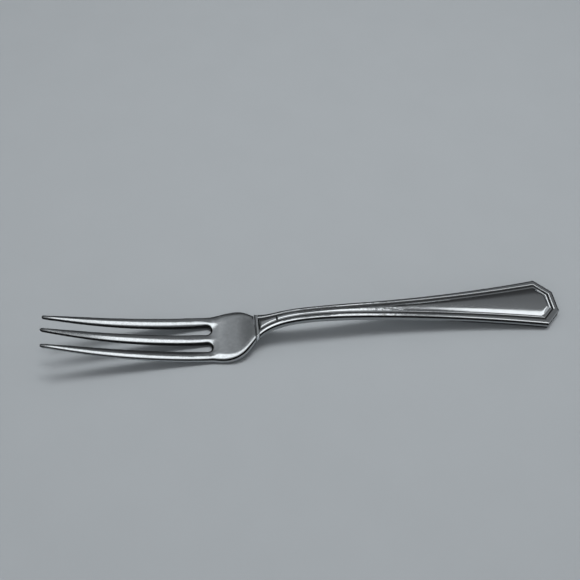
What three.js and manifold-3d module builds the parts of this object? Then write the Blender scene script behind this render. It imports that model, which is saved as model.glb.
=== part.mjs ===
// A three-tined seafood fork with a hollow handle made of two shells. Millimetres, +Z up.
// The fork lies on its back on the plane z = 0: tines toward -X, handle end toward +X.
import * as THREE from "three";
import { mergeVertices } from "three/addons/utils/BufferGeometryUtils.js";
import Module from "manifold-3d";

// Lengths along the fork, from the tips to the end of the handle
const TINE_LENGTH = 45.8;
const PALM_LENGTH = 13.0;
const COLLAR_LENGTH = 1.1;
const HANDLE_LENGTH = 90.1;
const CORNER_LENGTH = 4.7; // the cut corners of the handle's end

// Heights of the top edge above the table, and where along the fork they are taken
const TIP_HEIGHT = 15.2;
const TINE_BEND_HEIGHT = 9.45;
const TINE_BEND_FROM_TIP = 15;
const SWEEP_HEIGHT = 4.95;
const SWEEP_FROM_ROOT = 14.8;
const ROOT_HEIGHT = 2.55;
const PALM_HEIGHT = 2.72;
const PALM_FROM_NECK = 7.3;
const NECK_HEIGHT = 5.6;
const RISE_HEIGHT = 8.75;
const RISE_FROM_NECK = 7.2;
const CREST_HEIGHT = 9.8;
const CREST_FROM_NECK = 16.2;
const RUN_HEIGHT = 8.2;
const RUN_FROM_NECK = 36.2;
const END_HEIGHT = 2.0;

// Head: tines, slots and palm
const TINE_ROOT_WIDTH = 3.3;
const TINE_TIP_WIDTH = 1.05;
const TINE_TIP_PITCH = 4.58;
const SLOT_WIDTH = 2.6;
const TINE_TAPER = 3.5; // exponent: the tine keeps its width and narrows late
const HEAD_WIDTH = 16.5;
const WIDEST_FROM_NECK = 8.1;
const SHOULDER_REACH = 5;
const NECK_REACH = 1.8;
const NECK_WIDTH = 8.5;
const BRIM_THICKNESS = 2.3;
const NECK_THICKNESS = 2.35;
const TIP_THICKNESS = 1.0;
const CUP_DEPTH = 0.9;
const BACK_CUP_DEPTH = 0.35;
const TIP_LIFT = 1.0; // the middle tip stands this far above the outer ones
const EDGE_RADIUS = 0.45;
const TIP_ROUND = 0.4;
const TIP_BLUNT = 0.5; // share of a tine's section that is left at the very tip

// Tang inside the handle
const TANG_LENGTH = 48;
const TANG_WIDTH = 1.8;
const TANG_THICKNESS = 0.9;
const TANG_DROP = 0.3; // below the seam
const TANG_ROOT = 1.5; // how far the tang is rooted in the neck
const NOTCH_DEPTH = 0.2;
const NOTCH_LENGTH = 2.5;
const NOTCHES = 4;

// Handle outline
const STEM_WIDTH = 3.92;
const HANDLE_WIDTH = 15.8;
const END_WIDTH = 6.8;
const FLARE_FROM_NECK = 12.2;
const NECK_FADE = 2.7; // how fast the neck's width dies away into the stem

// Handle front, struck in relief: heights above the seam
const LIP = 0.15;
const STEM_RIM_WIDTH = 0.95;
const END_RIM_WIDTH = 1.6;
const RIM_HEIGHT = 0.7;
const GROOVE_WIDTH = 0.42;
const GROOVE_HEIGHT = 0.35;
const THREAD_WIDTH = 0.62;
const THREAD_HEIGHT = 0.6;
const PANEL_EDGE_HEIGHT = 0.5;
const PANEL_CROWN = 0.8;
const PANEL_END = 3.5; // how far before its end the panel's crown starts to fall
const RIB_HEIGHT = 0.72;
const TAB_LENGTH = 5.4;
const CROSS_GROOVE = 0.6;
const PANEL_FROM_NECK = 45.5;
const PANEL_FADE = 3;
const PANEL_POINT = 3; // the panel starts this much earlier in its middle than at its sides
const BORDER_SHARE = 0.75; // most of the room that a border takes where the handle is narrow

// Handle back, wall and core
const BACK_DEPTH = 2.35;
const BACK_CROWN = 0.12;
const BACK_RADIUS = 0.55;
const WALL = 0.5;
const COLLAR_HEIGHT = 0.5;
const CORE_FROM_NECK = 20;

// Clearances
const SEAM = 0.1; // solder line between the shells, the collar and the head
const CORE_GAP = 0.1;
const TANG_GAP = 0.15;

// How finely curves are cut, and how close two points are one
const EDGE_STEPS = 3;
const RIM_STEPS = 4;
const FILL_STEPS = 6;
const TAB_STEPS = 4;
const TINE_STEPS = 15;
const SLOT_STEPS = 4;
const PALM_STEPS = 4;
const SHOULDER_STEPS = 9;
const RIB_STEPS = 14;
const PANEL_STEPS = 11;
const WELD = 1e-5;

// Places along the fork
const LENGTH = TINE_LENGTH + PALM_LENGTH + COLLAR_LENGTH + HANDLE_LENGTH;
const xTip = -LENGTH / 2;
const xRoot = xTip + TINE_LENGTH;
const xNeck = xRoot + PALM_LENGTH;
const xHandle = xNeck + COLLAR_LENGTH;
const xEnd = xHandle + HANDLE_LENGTH;
const xShoulder = xEnd - CORNER_LENGTH;
const xTabEnd = xHandle + TAB_LENGTH;
const xPanel = xNeck + PANEL_FROM_NECK;
const xPanelEnd = xEnd - END_RIM_WIDTH - GROOVE_WIDTH - THREAD_WIDTH;

const wasm = await Module();
wasm.setup();

const mix = THREE.MathUtils.lerp;
const ease = THREE.MathUtils.smoothstep;

// A natural cubic spline through [x, y] knots, as a function of x
function curveThrough(knots) {
  const last = knots.length - 1;
  const bend = new Array(last + 1).fill(0);
  const carry = new Array(last + 1).fill(0);
  for (let k = 1; k < last; k++) {
    const [x0, y0] = knots[k - 1];
    const [x1, y1] = knots[k];
    const [x2, y2] = knots[k + 1];
    const share = (x1 - x0) / (x2 - x0);
    const pivot = share * bend[k - 1] + 2;
    const turn = (y2 - y1) / (x2 - x1) - (y1 - y0) / (x1 - x0);
    bend[k] = (share - 1) / pivot;
    carry[k] = ((6 * turn) / (x2 - x0) - share * carry[k - 1]) / pivot;
  }
  bend[last] = 0;
  for (let k = last - 1; k >= 0; k--) {
    bend[k] = bend[k] * bend[k + 1] + carry[k];
  }
  return (x) => {
    let k = 0;
    while (k < last - 1 && x > knots[k + 1][0]) {
      k++;
    }
    const [x0, y0] = knots[k];
    const [x1, y1] = knots[k + 1];
    const span = x1 - x0;
    const a = (x1 - x) / span;
    const b = (x - x0) / span;
    const sag = ((a ** 3 - a) * bend[k] + (b ** 3 - b) * bend[k + 1]) * span ** 2;
    return a * y0 + b * y1 + sag / 6;
  };
}

// Even places from one point to another, without the first
function steps(from, to, count) {
  return Array.from({ length: count }, (_, k) => mix(from, to, (k + 1) / count));
}

// Height of the fork's top edge: the seam of the handle and the brim of the head
const spine = curveThrough([
  [xTip, TIP_HEIGHT],
  [xTip + TINE_BEND_FROM_TIP, TINE_BEND_HEIGHT],
  [xRoot - SWEEP_FROM_ROOT, SWEEP_HEIGHT],
  [xRoot, ROOT_HEIGHT],
  [xNeck - PALM_FROM_NECK, PALM_HEIGHT],
  [xNeck, NECK_HEIGHT],
  [xNeck + RISE_FROM_NECK, RISE_HEIGHT],
  [xNeck + CREST_FROM_NECK, CREST_HEIGHT],
  [xNeck + RUN_FROM_NECK, RUN_HEIGHT],
  [xEnd, END_HEIGHT],
]);

const onSpine = (x, y, height) => new THREE.Vector3(x, y, spine(x) + height);

// A mesh under construction: rows of points and the faces between them
class Skin {
  constructor() {
    this.points = [];
    this.faces = [];
  }

  add(points) {
    return points.map((point) => this.points.push(point) - 1);
  }

  // Faces between two rows of equal length
  strip(row, next) {
    for (let k = 0; k + 1 < row.length; k++) {
      this.faces.push(row[k], row[k + 1], next[k + 1]);
      this.faces.push(row[k], next[k + 1], next[k]);
    }
  }

  // A flat face square to X that closes a loop, facing along `side` of X
  cap(loop, side) {
    const flat = loop.map((k) => new THREE.Vector2(this.points[k].y, this.points[k].z));
    for (const [a, b, c] of THREE.ShapeUtils.triangulateShape(flat, [])) {
      const ab = flat[b].clone().sub(flat[a]);
      const ac = flat[c].clone().sub(flat[a]);
      const turned = ab.cross(ac) * side > 0 ? [a, b, c] : [a, c, b];
      this.faces.push(...turned.map((k) => loop[k]));
    }
  }

  geometry() {
    const shape = new THREE.BufferGeometry().setFromPoints(this.points);
    shape.setIndex(this.faces);
    return mergeVertices(shape, WELD);
  }

  solid() {
    return solidOf(this.geometry());
  }
}

function solidOf(shape) {
  const vertProperties = new Float32Array(shape.getAttribute("position").array);
  const triVerts = new Uint32Array(shape.getIndex().array);
  return new wasm.Manifold(new wasm.Mesh({ numProp: 3, vertProperties, triVerts }));
}

function shapeOf(solid) {
  const { vertProperties, triVerts } = solid.getMesh();
  const shape = new THREE.BufferGeometry();
  shape.setAttribute("position", new THREE.BufferAttribute(vertProperties, 3));
  shape.setIndex(new THREE.BufferAttribute(triVerts, 1));
  shape.computeVertexNormals();
  return shape;
}

// A body through closed loops at growing x, each loop anticlockwise seen from +X
function loft(skin, loops, { capStart = true, capEnd = true } = {}) {
  const rings = loops.map((loop) => skin.add(loop));
  const closed = (ring) => [...ring, ring[0]];
  for (let k = 0; k + 1 < rings.length; k++) {
    skin.strip(closed(rings[k]), closed(rings[k + 1]));
  }
  if (capStart) {
    skin.cap(rings[0], -1);
  }
  if (capEnd) {
    skin.cap(rings[rings.length - 1], 1);
  }
}

// Everything below the table plane, cut away where the fork rests
function tableBlock() {
  const size = 2 * LENGTH;
  const block = new THREE.BoxGeometry(size, size, size);
  block.translate(0, 0, -size / 2);
  block.deleteAttribute("normal");
  block.deleteAttribute("uv");
  return solidOf(mergeVertices(block));
}

// Head

// Share of the way from the roots of the tines to their tips
const toTip = (x) => (xRoot - x) / TINE_LENGTH;

const tineHalf = (x) => mix(TINE_ROOT_WIDTH, TINE_TIP_WIDTH, Math.max(0, toTip(x)) ** TINE_TAPER) / 2;

// Middle line of an outer tine
const rootPitch = TINE_ROOT_WIDTH + SLOT_WIDTH;
const pitch = (x) => mix(rootPitch, TINE_TIP_PITCH, toTip(x));

// Distance of the slots' middle line from the fork's middle
const slotMiddle = (x) => pitch(x) / 2;
const slotHalf = (x) => pitch(x) / 2 - tineHalf(x);

function brimThickness(x) {
  if (x < xRoot) {
    return mix(BRIM_THICKNESS, TIP_THICKNESS, toTip(x));
  }
  return mix(BRIM_THICKNESS, NECK_THICKNESS, ease(x, xRoot, xNeck));
}

// How far the middle of a face lies below its edges; negative toward the tips
function cup(x, depth) {
  if (x < xRoot) {
    return mix(depth, -TIP_LIFT, toTip(x) ** 2);
  }
  return depth * (1 - ease(x, xRoot, xNeck));
}

// A point of the head: `across` from the middle, `level` from -1 on the back to 1 on the front
function headPoint(x, across, brim, level) {
  const inward = 1 - (across / brim) ** 2;
  const front = -cup(x, CUP_DEPTH) * inward;
  const back = -cup(x, BACK_CUP_DEPTH) * inward - brimThickness(x);
  return onSpine(x, across, mix(back, front, (1 + level) / 2));
}

// Steps over a rounded edge: distance in from the edge as a share of its radius, and level there
const EDGE = Array.from({ length: EDGE_STEPS + 1 }, (_, k) => {
  const angle = (Math.PI / 2) * (k / EDGE_STEPS);
  return { inset: 1 - Math.cos(angle), level: Math.sin(angle) };
});

// Columns over a strip of metal from its +Y edge to its -Y edge
function columns(high, low, highRadius, lowRadius) {
  const fromHigh = EDGE.map(({ inset, level }) => ({ y: high - inset * highRadius, level }));
  const fromLow = EDGE.map(({ inset, level }) => ({ y: low + inset * lowRadius, level }));
  return [...fromHigh, { y: (high + low) / 2, level: 1 }, ...fromLow.reverse()];
}

// A closed loop over columns: front from +Y to -Y, then back again underneath
function loopOver(x, brim, list) {
  const front = list.map(({ y, level }) => headPoint(x, y, brim, level));
  const back = list.slice(1, -1).map(({ y, level }) => headPoint(x, y, brim, -level));
  return [...front, ...back.reverse()];
}

// Section of one tine: side 1 and -1 are the outer tines, 0 the middle one
function tineLoop(x, side, opening, shrink) {
  const outer = pitch(x) + tineHalf(x);
  const gap = slotHalf(x) * opening;
  const inner = slotMiddle(x) + gap;
  const middle = slotMiddle(x) - gap;
  const slotRadius = EDGE_RADIUS * opening;
  const edges = {
    1: [outer, inner, EDGE_RADIUS, slotRadius],
    0: [middle, -middle, slotRadius, slotRadius],
    "-1": [-inner, -outer, slotRadius, EDGE_RADIUS],
  };
  const [high, low, highRadius, lowRadius] = edges[side];
  const fit = Math.min(1, (high - low) / 2 / Math.max(highRadius, lowRadius));
  const loop = loopOver(x, outer, columns(high, low, highRadius * fit, lowRadius * fit));
  const heart = headPoint(x, (high + low) / 2, outer, 0);
  return loop.map((point) => point.lerp(heart, 1 - shrink));
}

// Places along a tine: the rounded tip, the long run, and the round end of the slot
function tineStations() {
  const tip = EDGE.map(({ inset, level }) => {
    return { x: xTip + TIP_ROUND * inset, opening: 1, shrink: mix(TIP_BLUNT, 1, level) };
  });
  const radius = SLOT_WIDTH / 2;
  const run = [];
  for (const x of steps(xTip + TIP_ROUND, xRoot - radius, TINE_STEPS)) {
    run.push({ x, opening: 1, shrink: 1 });
  }
  const round = [];
  for (let k = SLOT_STEPS - 1; k >= 0; k--) {
    const angle = (Math.PI / 2) * (k / SLOT_STEPS);
    round.push({ x: xRoot - radius * (1 - Math.cos(angle)), opening: Math.sin(angle), shrink: 1 });
  }
  return [...tip, ...run, ...round];
}

// Outline of the palm from the slot roots to the neck, as points of two curves
function palmOutline() {
  const root = new THREE.Vector2(xRoot, rootPitch + TINE_ROOT_WIDTH / 2);
  const widest = new THREE.Vector2(xNeck - WIDEST_FROM_NECK, HEAD_WIDTH / 2);
  const neck = new THREE.Vector2(xNeck, NECK_WIDTH / 2);
  const third = (widest.x - root.x) / 3;
  const swell = new THREE.CubicBezierCurve(
    root,
    new THREE.Vector2(root.x + third, mix(root.y, widest.y, 1 / 3)),
    new THREE.Vector2(widest.x - third, widest.y),
    widest,
  );
  const fall = (NECK_WIDTH - STEM_WIDTH) / 2 / NECK_FADE;
  const shoulder = new THREE.CubicBezierCurve(
    widest,
    new THREE.Vector2(widest.x + SHOULDER_REACH, widest.y),
    new THREE.Vector2(neck.x - NECK_REACH, neck.y + fall * NECK_REACH),
    neck,
  );
  return [...swell.getPoints(PALM_STEPS).slice(0, -1), ...shoulder.getPoints(SHOULDER_STEPS)];
}

function palmLoop(x, half) {
  const rootHalf = rootPitch + TINE_ROOT_WIDTH / 2;
  const fold = (slotMiddle(xRoot) * half) / rootHalf;
  const edge = EDGE.map(({ inset, level }) => ({ y: half - inset * EDGE_RADIUS, level }));
  const right = [...edge, { y: (half + fold) / 2, level: 1 }, { y: fold, level: 1 }];
  const left = right.map(({ y, level }) => ({ y: -y, level })).reverse();
  return loopOver(x, half, [...right, { y: 0, level: 1 }, ...left]);
}

// Tang: a flat bar under the front shell, notched where the core grips it
function tangLoops(grow, reach) {
  const loops = [];
  const section = (x, notched) => {
    const half = TANG_WIDTH / 2 + grow - (notched ? NOTCH_DEPTH : 0);
    const top = -TANG_DROP + grow;
    const bottom = -TANG_DROP - TANG_THICKNESS - grow;
    const corners = [[half, bottom], [half, top], [-half, top], [-half, bottom]];
    return corners.map(([y, height]) => onSpine(x, y, height));
  };
  const start = xNeck - TANG_ROOT;
  const end = xNeck + TANG_LENGTH;
  const notchStart = end - (2 * NOTCHES + 1) * NOTCH_LENGTH;
  const plainSteps = Math.ceil((notchStart - start) / NOTCH_LENGTH);
  for (const x of [start, ...steps(start, notchStart, plainSteps)]) {
    loops.push(section(x, false));
  }
  for (let k = 0; k < 2 * NOTCHES; k++) {
    const notched = reach === 0 && k % 2 === 0;
    const from = notchStart + k * NOTCH_LENGTH;
    loops.push(section(from + NOTCH_DEPTH, notched));
    loops.push(section(from + NOTCH_LENGTH, notched));
  }
  loops.push(section(end + reach, false));
  return loops;
}

function tangSolid() {
  const skin = new Skin();
  loft(skin, tangLoops(0, 0));
  return skin.solid();
}

function forkHead() {
  const skin = new Skin();
  const along = tineStations();
  for (const side of [1, 0, -1]) {
    const loops = along.map(({ x, opening, shrink }) => tineLoop(x, side, opening, shrink));
    loft(skin, loops, { capEnd: false });
  }
  const palm = palmOutline();
  palm[palm.length - 1].x -= SEAM / 2;
  loft(skin, palm.map(({ x, y }) => palmLoop(x, y)), { capStart: false });
  return skin.solid().add(tangSolid()).subtract(tableBlock());
}

// Handle

// Half width of the handle and collar, up to the shoulders of the cut corners
const stemHalf = STEM_WIDTH / 2;
const xFlare = xNeck + FLARE_FROM_NECK;
function halfWidth(x) {
  const flare = Math.max(0, (x - xFlare) / (xShoulder - xFlare)) ** 2;
  const neck = Math.exp((xNeck - x) / NECK_FADE);
  return stemHalf + (HANDLE_WIDTH / 2 - stemHalf) * flare + (NECK_WIDTH / 2 - stemHalf) * neck;
}

// How fast the half width grows along X
function widening(x) {
  const reach = 0.01;
  return (halfWidth(x + reach) - halfWidth(x - reach)) / (2 * reach);
}

// Growth of a distance square to the outline when it is measured along Y
const slant = (x) => Math.hypot(1, widening(x));

// Inward corner of two straight edges, given the directions they run in
function inwardCorner(corner, before, after, inset) {
  const first = new THREE.Vector2(before.y, -before.x).normalize();
  const second = new THREE.Vector2(after.y, -after.x).normalize();
  const along = first.clone().add(second).divideScalar(1 + first.dot(second));
  return corner.clone().addScaledVector(along, inset);
}

const shoulderCorner = new THREE.Vector2(xShoulder, HANDLE_WIDTH / 2);
const endCorner = new THREE.Vector2(xEnd, END_WIDTH / 2);
const cutEdge = endCorner.clone().sub(shoulderCorner);
const sideEdge = new THREE.Vector2(1, widening(xShoulder));
const endEdge = new THREE.Vector2(0, -1);

// One side of a line that follows the handle's outline at an inset, with both corners of the end
function followOutline(stations, inset) {
  const depth = inset(xShoulder);
  const shoulder = inwardCorner(shoulderCorner, sideEdge, cutEdge, depth);
  const end = inwardCorner(endCorner, cutEdge, endEdge, depth);
  const path = stations.slice(0, -1).map((x) => {
    const share = Math.max(0, (x - xPanel) / (xShoulder - xPanel));
    const at = x + (shoulder.x - xShoulder) * share;
    return new THREE.Vector2(at, halfWidth(at) - inset(at) * slant(at));
  });
  return [...path, shoulder, end];
}

// Columns over the middle of a sheet, as shares of its half width
const ACROSS = Array.from({ length: FILL_STEPS - 1 }, (_, k) => {
  return Math.cos((Math.PI * (k + 1)) / FILL_STEPS);
});

// A sheet over the handle's outline: rings from the edge inward, then a filled middle
function handleSheet(skin, stations, rings, fill) {
  const paths = rings.map(({ inset }) => followOutline(stations, inset));
  const inner = paths[paths.length - 1];
  const ringPoint = (k, i, side) => {
    const { x, y } = paths[k][i];
    return onSpine(x, side * y, rings[k].height(x));
  };
  const rows = inner.map(({ x, y }, i) => {
    const high = skin.add(paths.map((path, k) => ringPoint(k, i, 1)));
    const low = skin.add(paths.map((path, k) => ringPoint(k, i, -1)));
    const middle = skin.add(ACROSS.map((v) => onSpine(x, v * y, fill(x, v))));
    return [...high, ...middle, ...low.reverse()];
  });
  const lastRow = rows[rows.length - 1];
  const endRows = paths.map((path, k) => {
    const { x, y } = path[path.length - 1];
    const middle = skin.add(ACROSS.map((v) => onSpine(x, v * y, rings[k].height(x))));
    return [lastRow[k], ...middle, lastRow[lastRow.length - 1 - k]];
  });
  endRows[endRows.length - 1] = lastRow.slice(rings.length - 1, lastRow.length - rings.length + 1);
  return { rows, endRows };
}

// A closed body between an upper and a lower sheet that share an outline
function handleBody(stations, upper, lower) {
  const skin = new Skin();
  const top = handleSheet(skin, stations, upper.rings, upper.fill);
  const bottom = handleSheet(skin, stations, lower.rings, lower.fill);
  for (let i = 0; i + 1 < top.rows.length; i++) {
    skin.strip(top.rows[i], top.rows[i + 1]);
    skin.strip(bottom.rows[i + 1], bottom.rows[i]);
  }
  for (let k = top.endRows.length - 1; k > 0; k--) {
    skin.strip(top.endRows[k], top.endRows[k - 1]);
  }
  for (let k = bottom.endRows.length - 1; k > 0; k--) {
    skin.strip(bottom.endRows[k - 1], bottom.endRows[k]);
  }
  const edgeOf = ({ rows, endRows }) => [
    ...rows.slice(0, -1).map((row) => row[0]),
    ...endRows[0],
    ...rows.slice(0, -1).reverse().map((row) => row[row.length - 1]),
  ];
  skin.strip(edgeOf(top), edgeOf(bottom));
  skin.cap([...top.rows[0], ...bottom.rows[0].slice().reverse()], -1);
  return skin.solid();
}

// Places along the handle, close together where a groove crosses it
function handleStations(start) {
  const groove = CROSS_GROOVE / 2;
  const tabStart = xHandle + SEAM / 2;
  const places = [
    tabStart,
    tabStart + groove,
    tabStart + 2 * groove,
    ...steps(tabStart + 2 * groove, xTabEnd - groove, TAB_STEPS),
    xTabEnd,
    xTabEnd + groove,
    ...steps(xTabEnd + groove, xPanel - PANEL_FADE, RIB_STEPS),
    xPanel,
    ...steps(xPanel, xShoulder, PANEL_STEPS),
  ];
  return [start, ...places.filter((x) => x > start + SEAM)];
}

// Widths of the border at x, kept inside the handle where it is narrow
function border(x) {
  const share = (halfWidth(x) - stemHalf) / (HANDLE_WIDTH / 2 - stemHalf);
  const rim = mix(STEM_RIM_WIDTH, END_RIM_WIDTH, share);
  const room = halfWidth(x) / slant(x);
  const fit = Math.min(1, (BORDER_SHARE * room) / (rim + GROOVE_WIDTH));
  const body = room - (rim + GROOVE_WIDTH) * fit;
  const thread = Math.min(THREAD_WIDTH, BORDER_SHARE * body);
  return { rim: rim * fit, groove: GROOVE_WIDTH * fit, thread, body };
}

// 0 on a groove across the handle, 1 away from it
function crossing(x) {
  const groove = CROSS_GROOVE / 2;
  const fromCollar = (x - xHandle - SEAM / 2) / groove;
  const fromTab = Math.abs(x - xTabEnd) / groove;
  return Math.min(1, fromCollar, fromTab);
}

// 0 along the stem's rib, 1 along the panel
const panelShare = (x) => ease(x, xPanel - PANEL_FADE, xPanel);

// Height of what lies inside the border, sunk where a groove crosses
const inside = (x, height) => mix(GROOVE_HEIGHT, height, crossing(x));

// Height of the rounded stem rib, from 0 at its edge to 1 in its middle
function ribHeight(share) {
  return mix(GROOVE_HEIGHT, RIB_HEIGHT, Math.sqrt(1 - (1 - share) ** 2));
}

// Half-round rim along the outline, from the lip at the seam to the groove
function rimRings() {
  return Array.from({ length: RIM_STEPS + 1 }, (_, k) => {
    const angle = (Math.PI * k) / RIM_STEPS;
    const foot = k < RIM_STEPS / 2 ? LIP : GROOVE_HEIGHT;
    return {
      inset: (x) => (border(x).rim * (1 - Math.cos(angle))) / 2,
      height: () => mix(foot, RIM_HEIGHT, Math.sin(angle)),
    };
  });
}

// One line of the inner thread, which runs into the rib along the stem
function threadRing(share, height) {
  return {
    inset: (x) => border(x).rim + border(x).groove + border(x).thread * share,
    height: (x) => {
      const rib = ribHeight((border(x).thread * share) / border(x).body);
      return inside(x, mix(rib, height, panelShare(x)));
    },
  };
}

// Middle of the front: the rib along the stem, then the domed panel with its pointed start
function frontFill(x, v) {
  const { thread, body } = border(x);
  const rib = ribHeight(mix(1, thread / body, Math.abs(v)));
  const broad = halfWidth(Math.min(x, xShoulder)) / (HANDLE_WIDTH / 2);
  const toEnd = THREE.MathUtils.clamp((xPanelEnd - x) / PANEL_END, 0, 1);
  const crown = PANEL_CROWN * broad * (1 - (1 - toEnd) ** 2);
  const panel = PANEL_EDGE_HEIGHT + crown * (1 - v ** 2);
  const pointed = x + PANEL_POINT * (1 - Math.abs(v));
  return inside(x, mix(rib, panel, panelShare(pointed)));
}

function handleFront() {
  const foot = threadRing(0, GROOVE_HEIGHT);
  const crest = threadRing(1 / 2, THREAD_HEIGHT);
  const shelf = threadRing(1, PANEL_EDGE_HEIGHT);
  const upper = { rings: [...rimRings(), foot, crest, shelf], fill: frontFill };
  const seam = () => SEAM / 2;
  const lower = { rings: [{ inset: () => 0, height: seam }], fill: seam };
  return handleBody(handleStations(xHandle + SEAM / 2), upper, lower);
}

// The back's outer face moved inward by `offset`, closed on top at `top`
function backBody(start, offset, top) {
  const edge = BACK_DEPTH - BACK_CROWN - offset;
  const radius = Math.max(BACK_RADIUS - offset, WALL / 2);
  const turned = Math.SQRT1_2;
  const level = (value) => () => value;
  const lower = {
    rings: [
      { inset: level(offset), height: level(radius - edge) },
      { inset: level(offset + radius * (1 - turned)), height: level(radius * (1 - turned) - edge) },
      { inset: level(offset + radius), height: level(-edge) },
    ],
    fill: (x, v) => -edge - BACK_CROWN * (1 - v ** 2),
  };
  const upper = { rings: [{ inset: level(offset), height: level(top) }], fill: level(top) };
  return handleBody(handleStations(start), upper, lower);
}

function handleBack() {
  const outside = backBody(xHandle + SEAM / 2, 0, -SEAM / 2);
  const pocket = backBody(xHandle - COLLAR_LENGTH, WALL, WALL);
  return outside.subtract(pocket).subtract(tableBlock());
}

// The core fills the broad part of the handle and holds the tang's end in a channel
function handleFiller() {
  const core = backBody(xNeck + CORE_FROM_NECK, WALL + CORE_GAP, -SEAM / 2 - CORE_GAP);
  const loops = tangLoops(TANG_GAP, TANG_GAP);
  for (const loop of loops) {
    for (const corner of [loop[1], loop[2]]) corner.z += BACK_DEPTH;
  }
  const channel = new Skin();
  loft(channel, loops);
  return core.subtract(channel.solid());
}

// The collar closes the mouth of the handle round the tang
function neckCollar() {
  const loops = [xNeck + SEAM / 2, xHandle - SEAM / 2].map((x) => {
    const half = halfWidth(x);
    const edge = BACK_DEPTH - BACK_CROWN;
    const right = [
      [half - BACK_RADIUS, -edge],
      [half - BACK_RADIUS * (1 - Math.SQRT1_2), BACK_RADIUS * (1 - Math.SQRT1_2) - edge],
      [half, BACK_RADIUS - edge],
      [half, 0],
      [half - COLLAR_HEIGHT * (1 - Math.SQRT1_2), COLLAR_HEIGHT * Math.SQRT1_2],
      [half - COLLAR_HEIGHT, COLLAR_HEIGHT],
    ];
    const left = right.map(([y, height]) => [-y, height]).reverse();
    return [...right, ...left].map(([y, height]) => onSpine(x, y, height));
  });
  const band = new Skin();
  loft(band, loops);
  const slot = new Skin();
  loft(slot, tangLoops(TANG_GAP, TANG_GAP));
  return band.solid().subtract(slot.solid());
}

// Metals and the core's cement
const satin = () => new THREE.MeshStandardMaterial({ color: 0xb4b7b9, roughness: 0.35, metalness: 1 });
const polish = () => new THREE.MeshStandardMaterial({ color: 0xc8cbcd, roughness: 0.15, metalness: 1 });
const cement = () => new THREE.MeshStandardMaterial({ color: 0x8f887c, roughness: 0.9, metalness: 0 });

const fork = new THREE.Group();
fork.name = "seafood_fork";

function place(name, solid, material) {
  const mesh = new THREE.Mesh(shapeOf(solid), material);
  mesh.name = name;
  fork.add(mesh);
}

place("fork_head", forkHead(), satin());
place("neck_collar", neckCollar(), polish());
place("handle_front", handleFront(), polish());
place("handle_back", handleBack(), polish());
place("handle_filler", handleFiller(), cement());

export default fork;
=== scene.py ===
"""A three-tined seafood fork in worn silver plate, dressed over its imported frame.

Units are metres. The fork lies on its back on z = 0, tines toward -X and handle end toward +X.
Each piece is drawn flat, with heights above the fork's spine, and is then bent along that spine.
"""

import logging
import math
from collections.abc import Callable, Sequence
from dataclasses import dataclass
from enum import Enum

import bmesh
import bpy
import numpy as np
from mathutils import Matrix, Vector
from mathutils.geometry import delaunay_2d_cdt


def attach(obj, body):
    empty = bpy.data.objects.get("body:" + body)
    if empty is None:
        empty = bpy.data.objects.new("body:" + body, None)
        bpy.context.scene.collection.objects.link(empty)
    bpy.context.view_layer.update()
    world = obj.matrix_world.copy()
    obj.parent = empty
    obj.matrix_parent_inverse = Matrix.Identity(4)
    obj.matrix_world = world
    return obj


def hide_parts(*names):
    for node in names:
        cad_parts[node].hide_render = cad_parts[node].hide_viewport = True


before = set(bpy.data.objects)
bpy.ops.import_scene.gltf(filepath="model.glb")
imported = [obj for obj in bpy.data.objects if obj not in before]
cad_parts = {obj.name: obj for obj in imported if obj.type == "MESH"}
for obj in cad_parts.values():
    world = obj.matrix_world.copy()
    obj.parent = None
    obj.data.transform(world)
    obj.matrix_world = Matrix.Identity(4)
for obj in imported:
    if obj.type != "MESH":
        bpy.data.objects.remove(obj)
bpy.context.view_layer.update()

Array = np.ndarray
Along = Callable[[Array], Array]
Colour = tuple[float, float, float]
Triple = tuple[float, float, float]
Span = tuple[float, float]
Material = bpy.types.Material
Piece = bpy.types.Object
Socket = bpy.types.NodeSocket
Tree = bpy.types.NodeTree

log = logging.getLogger("seafood_fork")

MM = 0.001
BODY = "root"
# Point attribute for darkening: tarnish in hollows and at joints, and painted shade on walls, edges and
# tips.
TARNISH_AND_SHADE = "tarnish"
CREASE = math.radians(38)
MIRROR = (1.0, -1.0)
FILL_INSIDE = 1
SAME_PLACE = 1e-6
PLACE_DIGITS = 7


class Slot(Enum):
    """Material slots of the record, named for the scene's own pieces but not given to them."""

    SATIN = "satin_silver"
    POLISHED = "polished_silver"


class Face(Enum):
    """The two faces of the fork's head."""

    FRONT = 1
    BACK = -1


class Axis(Enum):
    """Directions in the room."""

    X = "X"
    Y = "Y"
    Z = "Z"


def mix(start: float | Array, end: float | Array, share: float | Array) -> float | Array:
    """Go from start to end by a share of the way."""
    return start + (end - start) * share


def ease(x: float | Array, start: float, end: float) -> float | Array:
    """Rise smoothly from 0 at start to 1 at end."""
    share = np.clip((x - start) / (end - start), 0.0, 1.0)
    return share * share * (3.0 - 2.0 * share)


def bezier(corners: Sequence[Sequence[float]], count: int) -> Array:
    """Sample a cubic curve.

    Args:
        corners: Its four control points.
        count: How many points to take, both ends included.

    Returns:
        The points, one row each.
    """
    first, second, third, last = (np.array(corner) for corner in corners)
    t = np.linspace(0.0, 1.0, count)[:, None]
    s = 1.0 - t
    return first * s**3 + second * 3 * s * s * t + third * 3 * s * t * t + last * t**3


def quarter(count: int) -> Array:
    """Give angles over a quarter turn, both ends included."""
    return np.linspace(0.0, math.pi / 2, count)


def away(places: Array, line: Array) -> Array:
    """Measure how far places lie from a line.

    Args:
        places: Points, one row each.
        line: The line's points, one row each.

    Returns:
        The distance of each place from its nearest stretch of the line.
    """
    start, run = line[:-1], np.diff(line, axis=0)
    offset = places[:, None] - start
    share = np.clip((offset * run).sum(2) / (run * run).sum(1), 0.0, 1.0)
    return np.linalg.norm(offset - run * share[..., None], axis=2).min(1)


def level(value: float) -> Along:
    """Give a value that stays the same along the fork."""
    return lambda x: np.full_like(x, value)


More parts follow.
